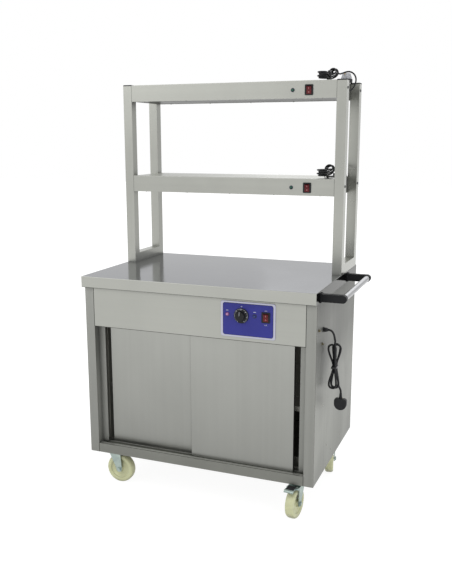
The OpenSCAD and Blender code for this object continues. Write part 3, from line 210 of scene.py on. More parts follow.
class Finish:
    """A Principled material whose details come from noise in the object's own space."""

    def __init__(self, name, tint, metallic=0.0, rough=0.5):
        self.material = bpy.data.materials.new(name)
        self.material.use_nodes = True
        self.tree = self.material.node_tree
        self.shader = self.tree.nodes["Principled BSDF"]
        self.tint, self.rough, self.normal = tuple(tint), rough, None
        self.space = self.add("TexCoord", {}, "Object")
        self.put({"Base Color": (*self.tint, 1), "Metallic": metallic, "Roughness": rough})
        self.material.diffuse_color = (*self.tint, 1)

    def add(self, kind, inputs, out=0, **settings):
        return add(self.tree, kind, inputs, out, **settings)

    def put(self, inputs):
        feed(self.tree, self.shader, inputs)

    def noise(self, scale, stretch=(1, 1, 1), detail=4.0, distortion=0.0):
        place = self.add("Mapping", {"Scale": stretch, "Vector": self.space})
        return self.add("TexNoise", {"Scale": scale, "Detail": detail, "Distortion": distortion,
                                     "Vector": place}, "Fac")

    def between(self, value, low, high, start=0.3, end=0.7):
        return self.add("MapRange", {"Value": value, "From Min": start, "From Max": end,
                                     "To Min": low, "To Max": high})

    def chosen(self, factor, first, second):
        """Goes from the first colour to the second as the factor rises."""
        return self.add("Mix", {"Factor": factor, "A": first, "B": second}, "Result",
                        data_type="RGBA")

    def mottle(self, value, spread, towards=(1, 1, 1)):
        """Varies the colour by the noise, from darker to lighter."""
        dark = (*(c * (1 - spread) for c in self.tint), 1)
        light = (*(min(c * (1 + spread) * t, 1) for c, t in zip(self.tint, towards)), 1)
        self.put({"Base Color": self.chosen(self.between(value, 0, 1), dark, light)})

    def scaled(self, tone, amount):
        """Multiplies a colour by a value."""
        return self.add("VectorMath", {0: tone, "Scale": amount}, operation="SCALE")

    def blotted(self, tone, value, spread):
        """Lightens and darkens a colour by the noise."""
        return self.scaled(tone, self.between(value, 1 - spread, 1 + spread))

    def painted_corner_shade(self, tone, reach, dark):
        """Painted shade: darkens seams and corners, where other sheets come closer than the reach."""
        openness = self.add("AmbientOcclusion", {"Distance": reach}, "AO", samples=6)
        return self.scaled(tone, self.between(openness, dark, 1.0, 0.25, 0.9))

    def part(self, vector, axis):
        return self.add("SeparateXYZ", {0: vector}, axis)

    def height(self):
        """Height above the floor."""
        return self.part(self.space, "Z")

    def slant(self):
        """Height above the floor, less towards the front, with a wavering level."""
        lean = self.add("Math", {0: self.part(self.space, "Y"), 1: -0.1, 2: self.height()},
                        operation="MULTIPLY_ADD")
        drift = self.between(self.noise(2.8, detail=2.0), -0.06, 0.06)
        return self.add("Math", {0: lean, 1: drift})

    def looks(self, axis):
        """How far a face looks along an axis of the trolley: 1, 0 or -1."""
        return self.part(self.add("NewGeometry", {}, "Normal"), axis)

    def painted_facing_shade(self, tone, flank_shade, under_shade):
        """Painted shade: darker steel on faces that look to the right, to the left and down."""
        for axis, start, end, reach in (("X", 1, flank_shade[0], TOWARDS), ("X", flank_shade[1], 1, AGAINST),
                                        ("Z", under_shade, 1, AGAINST)):
            tone = self.scaled(tone, self.between(self.looks(axis), start, end, *reach))
        return tone

    def uneven(self, value, spread):
        """Varies the roughness by the noise."""
        low, high = self.rough * (1 - spread), self.rough * (1 + spread)
        self.put({"Roughness": self.between(value, low, high)})

    def relief(self, value, depth, strength):
        """Adds bumps of that depth over those already there."""
        inputs = {"Height": value, "Distance": depth, "Strength": strength}
        if self.normal is not None:
            inputs["Normal"] = self.normal
        self.normal = self.add("Bump", inputs)
        self.put({"Normal": self.normal})

    def soft_edges(self, radius):
        """Rounds the look of folded edges."""
        self.normal = self.add("Bevel", {"Radius": radius}, samples=4)
        self.put({"Normal": self.normal})

    def translucent(self, weight, radius, scale):
        self.put({"Subsurface Weight": weight, "Subsurface Radius": radius,
                  "Subsurface Scale": scale})


def sheet_steel(name, tint, rough, along, dents=0.25, smudges=0.05, flat_tint_and_sheen=None, foot_shade=0.0,
                flank_shade=(0.6, 0.6), under_shade=0.25, glare=0.0, glow=0.0, corner_shade=0.4, edge=1.0,
                metallic=1.0):
    """Stainless sheet: brushing along one axis, soft dents, faint smudges. The flat tint is the tint of
    the faces that lie flat: the worktop's own polished tint, and painted light on the rail's ledges.
    The foot's shade is painted shade that darkens the sheet towards its foot, the flank and under
    shades are painted shade on the faces that look to the trolley's right, to its left and down, and
    glare is a painted reflection that lightens the lower part of its ends in a broad slanting band.
    The corner shade is how dark the painted shade in corners gets, glow is painted light that the
    sheet gives off, and edge how much a shallow look along the sheet mirrors."""
    made = Finish(name, tint, metallic, rough)
    made.soft_edges(0.9 * MM)
    brushed = [0.012 if axis == along else 1.0 for axis in "xyz"]
    cloud = made.noise(3.4, (1.0, 1.0, 0.7), distortion=0.5)
    streaks = made.noise(46.0, brushed)
    tone = made.blotted(made.blotted(tint, cloud, smudges), streaks, smudges * 0.35)
    # painted shade: the sheet darkens towards its foot
    if foot_shade:
        tone = made.scaled(tone, made.between(made.height(), 1 - foot_shade, 1.0, 0.15, 0.85))
    # painted shade in corners and seams, and on faces that look sideways and down
    tone = made.painted_facing_shade(made.painted_corner_shade(tone, CORNER_SHADE_REACH, corner_shade), flank_shade, under_shade)
    # painted reflection: a lighter slanting band over the lower part of the ends
    if glare:
        band = made.between(made.slant(), 1 + glare, 1.0, 0.46, 0.64)
        veil = made.noise(2.4, (1.0, 1.6, 0.7), detail=2.0, distortion=0.9)
        lit = made.blotted(made.scaled(tone, band), veil, glare * 0.2)
        # shade below the handle
        lit = made.scaled(lit, made.between(made.height(), 1.0, 0.72, 0.77, 0.87))
        sideways = made.add("Math", {0: made.looks("X")}, operation="ABSOLUTE")
        tone = made.chosen(made.between(sideways, 0, 1, *TOWARDS), tone, lit)
    # flat faces: the worktop's own polished tint, and painted light on the rail's ledges
    if flat_tint_and_sheen:
        tone = made.chosen(made.between(made.looks("Z"), 0, 1, *TOWARDS), tone,
                           made.blotted(flat_tint_and_sheen, cloud, smudges))
    made.put({"Base Color": tone, "Anisotropic": 0.3, "Specular Tint": (edge, edge, edge, 1)})
    made.uneven(cloud, 0.14)
    made.relief(made.noise(1.7, detail=1.0), 1.2 * MM, dents)
    made.relief(made.noise(420.0, brushed, detail=3.0), 0.012 * MM, 0.3)
    # painted light: a faint glow from a sheet that is no lamp
    if glow:
        made.put({"Emission Color": (*tint, 1), "Emission Strength": glow})
    return made.material


def cast_metal(name, tint, rough, spots=0.12):
    """Plated or cast metal with blotches and a fine orange peel."""
    made = Finish(name, tint, 1.0, rough)
    made.soft_edges(0.6 * MM)
    made.mottle(made.noise(38.0, detail=6.0, distortion=0.4), spots, (1.02, 1.0, 0.94))
    made.uneven(made.noise(90.0), 0.3)
    made.relief(made.noise(420.0, detail=2.0), 0.05 * MM, 0.4)
    return made.material


def moulding(name, tint, rough, grain=900.0, spread=0.12, gloss=0.5):
    """Moulded plastic: fine spark grain, slight dust and an uneven sheen."""
    made = Finish(name, tint, rough=rough)
    made.put({"Specular IOR Level": gloss})
    made.soft_edges(0.5 * MM)
    made.mottle(made.noise(60.0, detail=5.0), spread)
    made.uneven(made.noise(30.0), 0.2)
    made.relief(made.noise(grain, detail=1.0), 0.04 * MM, 0.5)
    return made.material


def lens_plastic(name, tint, coat=0.3):
    """Clear coloured plastic over a dark barrel."""
    made = Finish(name, tint, rough=0.3)
    made.mottle(made.noise(160.0), 0.25)
    made.relief(made.noise(700.0, detail=1.0), 0.03 * MM, 0.4)
    made.put({"Specular IOR Level": 0.3, "Coat Weight": coat, "Coat Roughness": 0.08})
    made.translucent(0.15, (0.004, 0.002, 0.002), 0.4)
    return made.material


def dress(material, *names):
    """Gives nodes of the frame their finish."""
    for name in names:
        mesh = NODES[name].data
        if not mesh.materials:
            mesh.materials.append(material)
        for index in range(len(mesh.materials)):
            NODES[name].material_slots[index].link = "DATA"
            mesh.materials[index] = material


# ---------- shapes ----------

MILLI = Matrix.Scale(MM, 4)
SHARP = radians(35)
# closer than this, two corners are one, and a radius is none
SAME_PLACE, NO_RADIUS = 1e-7, 1e-9


def moved(x, y, z):
    return Matrix.Translation((x, y, z))


def turned(degrees, axis):
    return Matrix.Rotation(radians(degrees), 4, axis)


def facing(x, y, z):
    """Local Z looks out of the front (-Y), local X to the right, local Y up."""
    return moved(x, y, z) @ turned(90, "X")


def outward(x, y, z, side=1):
    """Local Z looks along +X, or -X with side -1."""
    return moved(x, y, z) @ turned(90 * side, "Y")


def centre(node):
    """Middle of a node in x and z."""
    low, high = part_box(node)
    return (low.x + high.x) / 2, (low.z + high.z) / 2


def stand(name, data):
    """Puts the data into the scene as an object."""
    made = bpy.data.objects.new(name, data)
    bpy.context.scene.collection.objects.link(made)
    return made


def mesh_of(name, shape, material):
    mesh = bpy.data.meshes.new(name)
    shape.to_mesh(mesh)
    shape.free()
    mesh.materials.append(material)
    return mesh


def piece(name, parts, material, slot=None, body="cabinet", bevel=0.0):
    """Makes a piece, parented to an empty named after a body of the frame. Each part is one of the
    functions below, which add to a shape, and what it needs."""
    shape = bmesh.new()
    for function, *needs in parts:
        function(shape, *needs)
    bmesh.ops.remove_doubles(shape, verts=shape.verts, dist=SAME_PLACE)
    bmesh.ops.recalc_face_normals(shape, faces=shape.faces)
    mesh = mesh_of(name, shape, material)
    for face in mesh.polygons:
        face.use_smooth = True
    mesh.set_sharp_from_angle(angle=SHARP)
    made = stand(name, mesh)
    if bevel:
        settle(made.modifiers.new("rounded edges", "BEVEL"), width=bevel, segments=2,
               limit_method="ANGLE", angle_limit=SHARP, harden_normals=True)
    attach(made, body)
    return made


def lathe(shape, profile, place, steps=48):
    """Turns a closed line of (radius, height) points about the local Z axis."""
    rings = []
    for step in range(steps):
        a = tau * step / steps
        rings.append([shape.verts.new(place @ Vector((r * cos(a), r * sin(a), h)))
                      for r, h in profile])
    centred = [r < NO_RADIUS for r, h in profile]
    for ring, after in zip(rings, rings[1:] + rings[:1]):
        for i in range(len(profile)):
            j = (i + 1) % len(profile)
            # a corner on the axis is taken once
            corners = ([ring[i]] + [after[i]] * (not centred[i]) + [after[j]] * (not centred[j])
                       + [ring[j]])
            if len(corners) > 2:
                shape.faces.new(corners)


def loft(shape, rings, closed=False):
    """Skin over rings of corners, with flat ends or, where closed, back to the first ring."""
    rings = [[shape.verts.new(corner) for corner in ring] for ring in rings]
    for a, b in zip(rings, rings[1:] + rings[:1] if closed else rings[1:]):
        for i in range(len(a)):
            j = (i + 1) % len(a)
            shape.faces.new((a[i], a[j], b[j], b[i]))
    if not closed:
        shape.faces.new(rings[0][::-1])
        shape.faces.new(rings[-1])


def level(outline, z, place):
    """Corners of an outline at one local height."""
    return [place @ Vector((x, y, z)) for x, y in outline]


def prism(shape, outline, low, high, place=Matrix()):
    """A closed outline raised from low to high along the local Z axis."""
    loft(shape, [level(outline, low, place), level(outline, high, place)])


def arc(x, y, radius, start, turn, steps):
    """Points along an arc, from a start through a turn in degrees."""
    angles = [radians(start + turn * k / steps) for k in range(steps + 1)]
    return [(x + radius * cos(a), y + radius * sin(a)) for a in angles]


def rounded(width, height, radius, steps=5, middle=(0, 0)):
    """Outline of a rectangle with rounded corners."""
    x, y = width / 2 - radius, height / 2 - radius
    return [point for k, (sx, sy) in enumerate(((1, 1), (-1, 1), (-1, -1), (1, -1)))
            for point in arc(middle[0] + sx * x, middle[1] + sy * y, radius, 90 * k, 90, steps)]


# ---------- the leads' routes in millimetres, as in the part's source ----------

MAIN_HANK = dict(loops=3.25, levels=4, up=75, down=70, r=14.5, top=[-12, -11, 7, 3],
                 low=[-4, 4, 1, -1])
SHELF_HANK = dict(loops=3.75, levels=5, up=60, down=45, r=17, top=[-17, 2, -2, 1, 10],
                  low=[3, -3, 4, -2, 0])
LAYER_GAP = WAIST_GAP = 0.8
MAIN_LEAD_IN, MAIN_TAIL, MAIN_TAIL_SHIFT = 22, 40, 11
SHELF_LEAD_IN, SHELF_TAIL = 10, 16
CURL_FROM, CURL_R, CURL_MAX = 8, 46, radians(70)
HANK_LIFT = 1.5
MAIN_GLAND_L, SHELF_GLAND_L = 20, 14
# points in each stretch of a route, and the straight end before its hank
ROUTE_STEPS, STRAIGHT = 8, 7
MAIN_ROUTE = [(0, 0, 0), (6, 0, 0), (12, 2, -3), (17, 6, -10), (20, 13, -21), (21, 21, -34),
              (21, 28, -46)]
TOP_ROUTE = [(0, 0, 0), (7, 0, 0), (14, 6, 4), (21, 16, 16), (24, 29, 33), (22, 41, 50),
             (13, 52, 66), (-2, 59, 77), (-20, 58, 79)]
MIDDLE_ROUTE = [(0, 0, 0), (6, 0, 0), (11, 3, 5), (13, 9, 16), (11, 18, 32), (5, 31, 50),
                (-4, 47, 66), (-12, 64, 76), (-19, 82, 80), (-30, 96, 80), (-43, 99, 77)]

LEFT, RIGHT, FRONT = X0 / MM, X1 / MM, Y0 / MM
MAIN_HANK_AT = Vector((RIGHT + 37, FRONT + 165, 603))
MAIN_GLAND = Vector((RIGHT - 2, FRONT + 122, 761))
# each shelf's lead: its gland's place in depth, its route and the turn of its hank
SHELF_LEADS = (("top", 540, TOP_ROUTE, 70), ("middle", 490, MIDDLE_ROUTE, 80))


def smooth(x):
    x = min(max(x, 0), 1)
    return x * x * (3 - 2 * x)


def curve(points, steps):
    """Smooth line through the points."""
    line = []
    for i, (b, c) in enumerate(zip(points, points[1:])):
        a, e = points[max(i - 1, 0)], points[min(i + 2, len(points) - 1)]
        for k in range(steps):
            f = k / steps
            line.append(0.5 * (2 * b + (c - a) * f + (2 * a - 5 * b + 4 * c - e) * f * f
                               + (3 * b - 3 * c + e - a) * f ** 3))
    return line + [points[-1]]


def hank_point(loop, d, up, down, r, top, low, levels, loops):
    """Point of a hank in its own frame: across, along, through."""
    n = int(loop)
    quarter = int((loop - n) * 4)
    f = (loop - n) * 4 - quarter
    climb = 0 if quarter < 2 else 1 if quarter > 2 else smooth(f * (up + down) / down)
    turn = radians(180 * f)
    bow, round_end = r * sin(turn), r * cos(turn)
    along = (up - (up + down) * f, -down - bow, (up + down) * f - down, up + bow)[quarter]
    spread = smooth(along / up if along > 0 else -along / down)
    reach = (d + WAIST_GAP) / 2 * (1 - spread) + r * spread
    across = (reach, round_end, -reach, -round_end)[quarter]
    shift = top[n + (0 if quarter < 2 else 1)] if along > 0 else low[n]
    through = (n + climb - (levels - 1) / 2) * (d + LAYER_GAP)
    return Vector((across + shift * spread, along, through))


def hank_points(hank, d, rings):
    """The turns of a hank: how far along it, and the point."""
    last = hank["loops"] - 0.0001
    turns = [min(i / rings, last) for i in range(int(hank["loops"] * rings) + 1)]
    return [(t, hank_point(t, d, **hank)) for t in turns]


def main_hank_line(d, rings):
    turns = [q for t, q in hank_points(MAIN_HANK, d, rings)]
    line = [turns[0] + Vector((0, MAIN_LEAD_IN * (3 - k) / 3, 0)) for k in range(3)] + turns
    line += [turns[-1] + Vector((MAIN_TAIL_SHIFT * smooth((k - 0.5) / 4.5), -MAIN_TAIL * k / 6, 0))
             for k in range(1, 7)]
    return [MAIN_HANK_AT + Vector((q.x, q.z, q.y)) for q in line]


def curled(q, height):
    """Bends the far lobe of a shelf's hank up."""
    s = q.y - CURL_FROM
    if s < 0:
        return Vector((q.x, q.y, height))
    a = min(s / CURL_R, CURL_MAX)
    past = max(0, s - CURL_MAX * CURL_R)
    return Vector((q.x, CURL_FROM + (CURL_R - height) * sin(a) + past * cos(CURL_MAX),
                   CURL_R - (CURL_R - height) * cos(a) + past * sin(CURL_MAX)))


def shelf_hank_line(at, turn, d, rings):
    turns = hank_points(SHELF_HANK, d, rings)
    first, last = turns[0][1], turns[-1][1]
    line = [(first + Vector((0, SHELF_LEAD_IN * (2 - k) / 2, 0)), False) for k in range(2)]
    line += [(q, 0.125 < t < SHELF_HANK["loops"] - 0.125) for t, q in turns]
    line += [(last + Vector((0, SHELF_TAIL * k / 3, 0)), False) for k in range(1, 4)]
    placed = []
    for q, bent in line:
        height = d / 2 + (SHELF_HANK["levels"] - 1) / 2 * (d + LAYER_GAP) - q.z
        c = curled(q, height) if bent else Vector((q.x, q.y, height))
        placed.append(at + turned(turn, "Z") @ Vector((c.y, c.x, c.z)))
    return placed


def whole_line(start, route, hank):
    """Free stretch from a gland to a hank, and the hank."""
    to, back = hank[0], (hank[0] - hank[1]).normalized() * STRAIGHT
    via = [start + Vector(q) for q in route] + [to + back * 2]
    return curve(via, ROUTE_STEPS) + [to + back] + hank


def lead(name, line, d, material, node_names):
    """One open curve with a round section, along a line of points in millimetres."""
    data = settle(bpy.data.curves.new(name, "CURVE"), dimensions="3D", bevel_depth=d / 2,
                  bevel_resolution=3, use_fill_caps=True)
    spline = data.splines.new("POLY")
    spline.points.add(len(line) - 1)
    for point, place in zip(spline.points, line):
        point.co = (*(place * MM), 1)
    spline.use_smooth = True
    data.materials.append(material)
    made = stand(name, data)
    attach(made, "cabinet")
    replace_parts(made, *node_names)
    return made


def line_length(line):
    return sum((b - a).length for a, b in zip(line, line[1:])) * MM


# ---------- plugs and ties ----------

SLEEVE_L = 22


def plug_outline(width, depth, radius):
    """Outline of a plug from above: a round far end and shoulders beside the lead."""
    half = width / 2
    return (arc(0, half - depth, half, 180, 180, 30) + arc(half - radius, -radius, radius, 0, 90, 6)
            + arc(radius - half, -radius, radius, 90, 90, 6))


def sleeve_profile(d, room):
    """Ribs of a plug's sleeve, which grow towards the plug."""
    ribs = [(0, 0), (d / 2 + 0.7 * room, 0), (d / 2 + 1.0 * room, 0.8)]
    for k in range(5):
        start, grow = 2.4 + k * 3.9, 0.4 * k
        ribs += [(d / 2 + (rise + grow) * room, start + past)
                 for rise, past in ((0.5, 0), (0.5, 1.2), (1.3, 1.6), (1.4, 3.2))]
    return ribs + [(d / 2 + 3 * room, SLEEVE_L + 2), (0, SLEEVE_L + 2)]


def make_plug(name, place, d, below, above, sheath, brass, cap):
    """Moulded three-pin plug. The lead comes in along local -Y, and the pins point to local +Z."""
    local = moved(*place.translation * MM) @ place.to_3x3().to_4x4() @ MILLI
    shell = local @ moved(0, -SLEEVE_L, 0)
    made = piece(name + "_body", [
        (prism, plug_outline(48, 46, 9), -below, above, shell),
        (prism, [(x, y + 0.5) for x, y in plug_outline(49.5, 47, 10)], 1.5 - below, above - 1.5,
         shell),
        # cover of the fuse
        (prism, rounded(11, 27, 1.5, middle=(0, -30)), above - 0.5, above + 0.5, shell),
    ], sheath, "black_plastic", bevel=0.8 * MM)
    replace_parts(made, name)
    # the sleeve grows up to the shelf or the plug's own side
    room = min(3, below - d / 2 - 0.1) / 3
    ribs = (lathe, sleeve_profile(d, room), local @ turned(90, "X"), 32)
    sides = [rounded(6.3, 4, 0.8, middle=(x, -31)) for x in (-11.1, 11.1)]
    pins = [(prism, side, above + 9, above + 17.7, shell) for side in sides]
    pins += [(prism, rounded(4, 8, 0.8, middle=(0, -11)), above - 0.5, above + 22.7, shell),
             (lathe, [(0, -0.5), (2.6, -0.5), (2.6, 0.5), (2.2, 0.9), (0, 0.9)],
              shell @ moved(0, -20.5, above), 20)]
    collars = [(prism, side, above - 0.5, above + 9.2, shell) for side in sides]
    parts = [made, piece(name + "_sleeve", [ribs], sheath, "black_plastic"),
             piece(name + "_pins", pins, brass, "brass", bevel=0.5 * MM),
             piece(name + "_pin_sleeves", collars, sheath, "black_plastic")]
    if cap:
        # inside and outside of the hood: size, height and corner radius
        sizes = [(20, 19, 22.4, 3), (33.5, 31.5, 4, 3), (33.5, 31.5, -0.1, 3), (36, 34, -0.1, 4),
                 (36, 34, 4, 4), (28, 27, 21, 4), (25.5, 24.5, 23.3, 4), (22, 21, 24, 4)]
        hood = [level(rounded(width, depth, radius, middle=(0, -21)), above + z, shell)
                for width, depth, z, radius in sizes]
        parts.append(piece(name + "_pin_cap", [(loft, hood)], cap, "black_plastic"))
    return parts


def make_tie(name, place, across, through, material):
    """Cable tie: band and its head."""
    band = place @ MILLI
    outer, inner = rounded(across + 2.4, through + 2.4, 3), rounded(across, through, 2)
    heights = [-3.5 + 7 * k / 6 for k in range(7)]
    rings = ([level(outer, z, band) for z in heights]
             + [level(inner, z, band) for z in reversed(heights)])
    head = rounded(8, 5, 1, middle=(0, through / 2 + 3))
    return piece(name, [(loft, rings, True), (prism, head, -4.5, 4.5, band)], material, "cord",
                 bevel=0.3 * MM)


def make_leads(settings):
    values = settings.leads
    sheath = moulding("lead_rubber", values.sheath, 0.5, grain=700.0, gloss=0.25)
    shell = moulding("plug_rubber", values.sheath, 0.5, grain=800.0, spread=0.2, gloss=0.3)
    tie = moulding("tie_nylon", values.sheath, 0.35)
    cap = moulding("cap_plastic", values.cap, 0.3, spread=0.05)
    brass = cast_metal("pin_brass", values.brass, 0.28)
    # the main plug hangs below its hank, with its pins to the back
    swapped = Matrix(((1, 0, 0, 0), (0, 0, 1, 0), (0, 1, 0, 0), (0, 0, 0, 1)))
    d = values.main_d / MM
    leads = [("main", values.main_d, MAIN_GLAND + Vector((MAIN_GLAND_L, 0, 0)), MAIN_ROUTE,
              main_hank_line(d, values.rings), swapped, (10, 9), moved(*MAIN_HANK_AT * MM),
              MAIN_HANK["levels"] * (d + LAYER_GAP) + 0.8, "hanging")]
    d = values.shelf_d / MM
    pitch = d + LAYER_GAP
    along = Matrix(((0, 0, 1, 0), (1, 0, 0, 0), (0, 1, 0, 0), (0, 0, 0, 1)))
    for name, gland_y, route, turn in SHELF_LEADS:
        top = SHELVES[name][1].z / MM
        hank_at = Vector((LEFT + 904, FRONT + 495, top + HANK_LIFT))
        middle = hank_at + Vector((0, 0, d / 2 + (SHELF_HANK["levels"] - 1) / 2 * pitch))
        leads.append((name, values.shelf_d,
                      Vector((RIGHT - 40 + SHELF_GLAND_L, FRONT + gland_y, top - 35)), route,
                      shelf_hank_line(hank_at, turn, d, values.rings), turned(turn + 90, "Z"),
                      (d / 2 + HANK_LIFT, 10), moved(*middle * MM) @ turned(turn, "Z") @ along,
                      SHELF_HANK["levels"] * pitch - LAYER_GAP + 0.2, "coiled"))
    for name, width, start, route, hank, spin, thick, tie_place, through, lay in leads:
        line = whole_line(start, route, hank)
        flex = lead(name + "_lead", line, width, sheath, [name + "_cord", name + "_hank"])
        parts = make_plug(name + "_plug", moved(*line[-1]) @ spin, width / MM, *thick, shell,
                          brass, cap if name == "top" else None)
        parts.append(make_tie(name + "_tie", tie_place, 2 * width / MM + 2.4, through, tie))
        if name == "main":
            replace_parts(parts[-1], "cord_ties")
        line_length(line)


# ---------- cupboard ----------

# half of the usual joint's width, and where a joint starts and ends through its face
JOINT, JOINT_THROUGH = 1.1 * MM, (-1.2 * MM, 0.2 * MM)
# profiles of a rivet and of two screws, in millimetres
RIVET = [(0, -0.2), (3.3, -0.2), (3.3, 0.3), (2.9, 0.9), (2.0, 1.35), (1.1, 1.5), (1.0, 1.1),
         (0, 1.1)]
BACK_SCREW = [(0, -0.2), (4.2, -0.2), (4.2, 0.3), (3.6, 1.4), (2.4, 2.0), (1.6, 2.1), (1.4, 1.0),
              (0, 1.0)]
BASE_SCREW = [(0, -0.1), (3.4, -0.1), (3.4, 0.4), (2.8, 1.2), (1.6, 1.7), (1.2, 1.7), (1.1, 0.8),
              (0, 0.8)]
# the rivets of each side: place from the worktop's front edge, height
RIVETS = ((142, 446), (470, 199), (224, 247), (300, 197), (134, 194), (566, 245))


def finish_cupboard(settings):
    values = settings.metal
    brushing = values.brushing
    # painted shade on the worktop's ends and underside; its flat top keeps its own polished tint
    dress(sheet_steel("worktop_steel", values.fascia, values.polish, "x", dents=0.12, smudges=0.03,
                      flat_tint_and_sheen=values.worktop, flank_shade=(0.2, 0.45), edge=0.76), "worktop")
    dress(sheet_steel("fascia_steel", values.fascia, brushing, "x", dents=0.15),
          "front_fascia", "top_door_guide")
    # painted light: the rail's flat ledges take the fascia's lighter tint
    dress(sheet_steel("rail_steel", values.rail, brushing, "x", dents=0.3, smudges=0.08,
                      flat_tint_and_sheen=values.fascia, corner_shade=0.9, metallic=0.5), "bottom_rail")
    # painted shade: the doors darken towards their foot
    dress(sheet_steel("door_steel", values.door, brushing, "z", dents=0.2, foot_shade=0.32),
          "left_door", "right_door")
    # painted shade towards the foot, on the flanks and below the handle, and a painted reflection on the
    # ends
    dress(sheet_steel("side_steel", values.side, brushing * 1.5, "z", dents=0.3, smudges=0.1,
                      foot_shade=0.22, flank_shade=(0.62, 0.62), glare=0.75, metallic=0.7),
          "left_side_panel", "right_side_panel", "back_panel")
    # painted light: the liner glows faintly; painted shade on its flanks and undersides
    dress(sheet_steel("liner_steel", values.inside, brushing * 1.4, "x", flank_shade=(0.8, 0.8),
                      under_shade=0.6, glow=0.03),
          "liner_sides", "liner_back", "liner_top", "cupboard_floor", "inner_shelf",
          "castor_channels")
    # painted shade: the guard is a darker copy of the liner's steel
    dress(sheet_steel("guard_steel", linear(118, 118, 112), brushing * 1.4, "x",
                      flank_shade=(0.5, 0.5)), "element_guard")
    dress(cast_metal("element_sheath", (0.09, 0.085, 0.08), 0.45), "heating_element")
    rivets(cast_metal("rivet_steel", values.side, 0.25))
    seams()


def seams():
    """Dark joints round the fascia, beside the track, at the shelves' ends and the right corner; the
    lines at the fascia's top and foot and under the worktop's rim are painted shadow lines as well.
    """
    low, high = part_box("front_fascia")
    y = low.y
    # upright joints in front: place in x and y, foot and head
    joints = [(x, y, foot.z, head.z, 2 * JOINT) for x in (low.x, high.x)
              for foot, head in ((low, high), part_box("bottom_rail"))]
    joints += [(x, foot.y, foot.z, head.z, 0.9 * JOINT) for foot, head in SHELVES.values()
               for x in (foot.x, head.x)]
    # each strip: width, height, and the middle of the place where it lies
    strips = [(width, head - foot, facing(x, front, (foot + head) / 2))
              for x, front, foot, head, width in joints]
    width = SIDE_HIGH.x - LEFT_SIDE_X
    # at the fascia's top and foot and under the worktop's rim: joints drawn darker as painted shadow
    # lines
    strips += [(width - 2 * MM, 2 * JOINT, facing(LEFT_SIDE_X + width / 2, y, high.z - JOINT)),
               (high.x - low.x, 1.4 * JOINT,
                facing((low.x + high.x) / 2, y, low.z + 0.7 * JOINT)),
               (X1 - X0 - 2 * MM, JOINT, facing((X0 + X1) / 2, Y0, TOP_LOW.z + 0.5 * JOINT)),
               (SIDE_HIGH.z - SIDE_LOW.z, 1.4 * JOINT,
                outward(SIDE_HIGH.x, SIDE_LOW.y + 2.4 * MM, (SIDE_LOW.z + SIDE_HIGH.z) / 2))]
    piece("front_joints_and_shadow_lines", [(prism, rounded(width, height, 0.1 * MM, 1), *JOINT_THROUGH, place)
                           for width, height, place in strips],
          moulding("joint_dark_and_shadow_line", linear(58, 59, 56), 0.75, gloss=0.1), "steel")


def rivets(material):
    """Blind rivets in both side panels, screws along the back panel."""
    piece("side_rivets", [(lathe, RIVET, outward(x, Y0 + y * MM, z * MM, side) @ MILLI, 24)
                          for y, z in RIVETS for x, side in ((SIDE_HIGH.x, 1), (LEFT_SIDE_X, -1))],
          material, "steel")
    low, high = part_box("back_panel")
    spots = [(low.x + 0.02 + (high.x - low.x - 0.04) * i / 6, z)
             for z in (low.z + 0.012, high.z - 0.014) for i in range(7)]
    spots += [(x, low.z + (high.z - low.z) * k / 5)
              for x in (low.x + 0.012, high.x - 0.012) for k in range(1, 5)]
    piece("back_screws", [(lathe, BACK_SCREW, moved(x, high.y, z) @ turned(-90, "X") @ MILLI, 24)
                          for x, z in spots], material, "steel")


# ---------- controls ----------

# printed marks lie this far into a face and over it
PRINT_UNDER, PRINT_OVER = -0.1 * MM, 0.2 * MM
# how far the rockers lean at rest, and how far each half bends away
ROCKER_LEAN, ROCKER_BEND = 8, 12.44
LAMP_RING = [(4.9, -0.3), (8, -0.3), (8, 1.3), (7.6, 1.9), (6.8, 2.5), (6.0, 2.6), (5.4, 2.2),
             (4.9, 1.2)]
LAMP_LENS = [(0, -2), (4.9, -2), (4.9, 2.6), (4.6, 4.1), (3.6, 5.3), (1.8, 6.0), (0, 6.2)]
LAMP_BARREL = [(0, -22), (4.4, -22), (4.4, -1.8), (0, -1.8)]


def make_controls(settings):
    values = settings.fittings
    plastic = moulding("control_plastic", values.plastic, 0.45, gloss=0.25)
    marks = moulding("mark_print", values.marks, 0.5, spread=0.03)
    film = Finish("panel_film", values.blue, rough=0.42)
    film.mottle(film.noise(12.0, detail=5.0), 0.08)
    film.uneven(film.noise(20.0), 0.15)
    film.relief(film.noise(1500.0, detail=1.0), 0.02 * MM, 0.5)
    film.put({"Specular IOR Level": 0.35})
    control_plate(sheet_steel("border_metal", values.border, 0.4, "x", dents=0.1), plastic)
    dress(film.material, "control_overlay")
    dress(cast_metal("thermostat_metal", (0.55, 0.54, 0.5), 0.4), "thermostat_body")
    dress(plastic, "thermostat_knob", "rocker_housings", "cord_glands")
    dress(lens_plastic("rocker_plastic", values.rocker, coat=0.05), *ROCKERS)
    dress(cast_metal("terminal_brass", linear(116, 110, 88), 0.42), "earth_terminal")
    knob_marks(marks)
    switch_marks(marks)
    # the marks' pale pink is the switches' print and also a painted highlight on the rockers
    rocker_marks(moulding("rocker_print_and_highlight", linear(205, 150, 150), 0.45, spread=0.05))
    lamps(values, plastic)


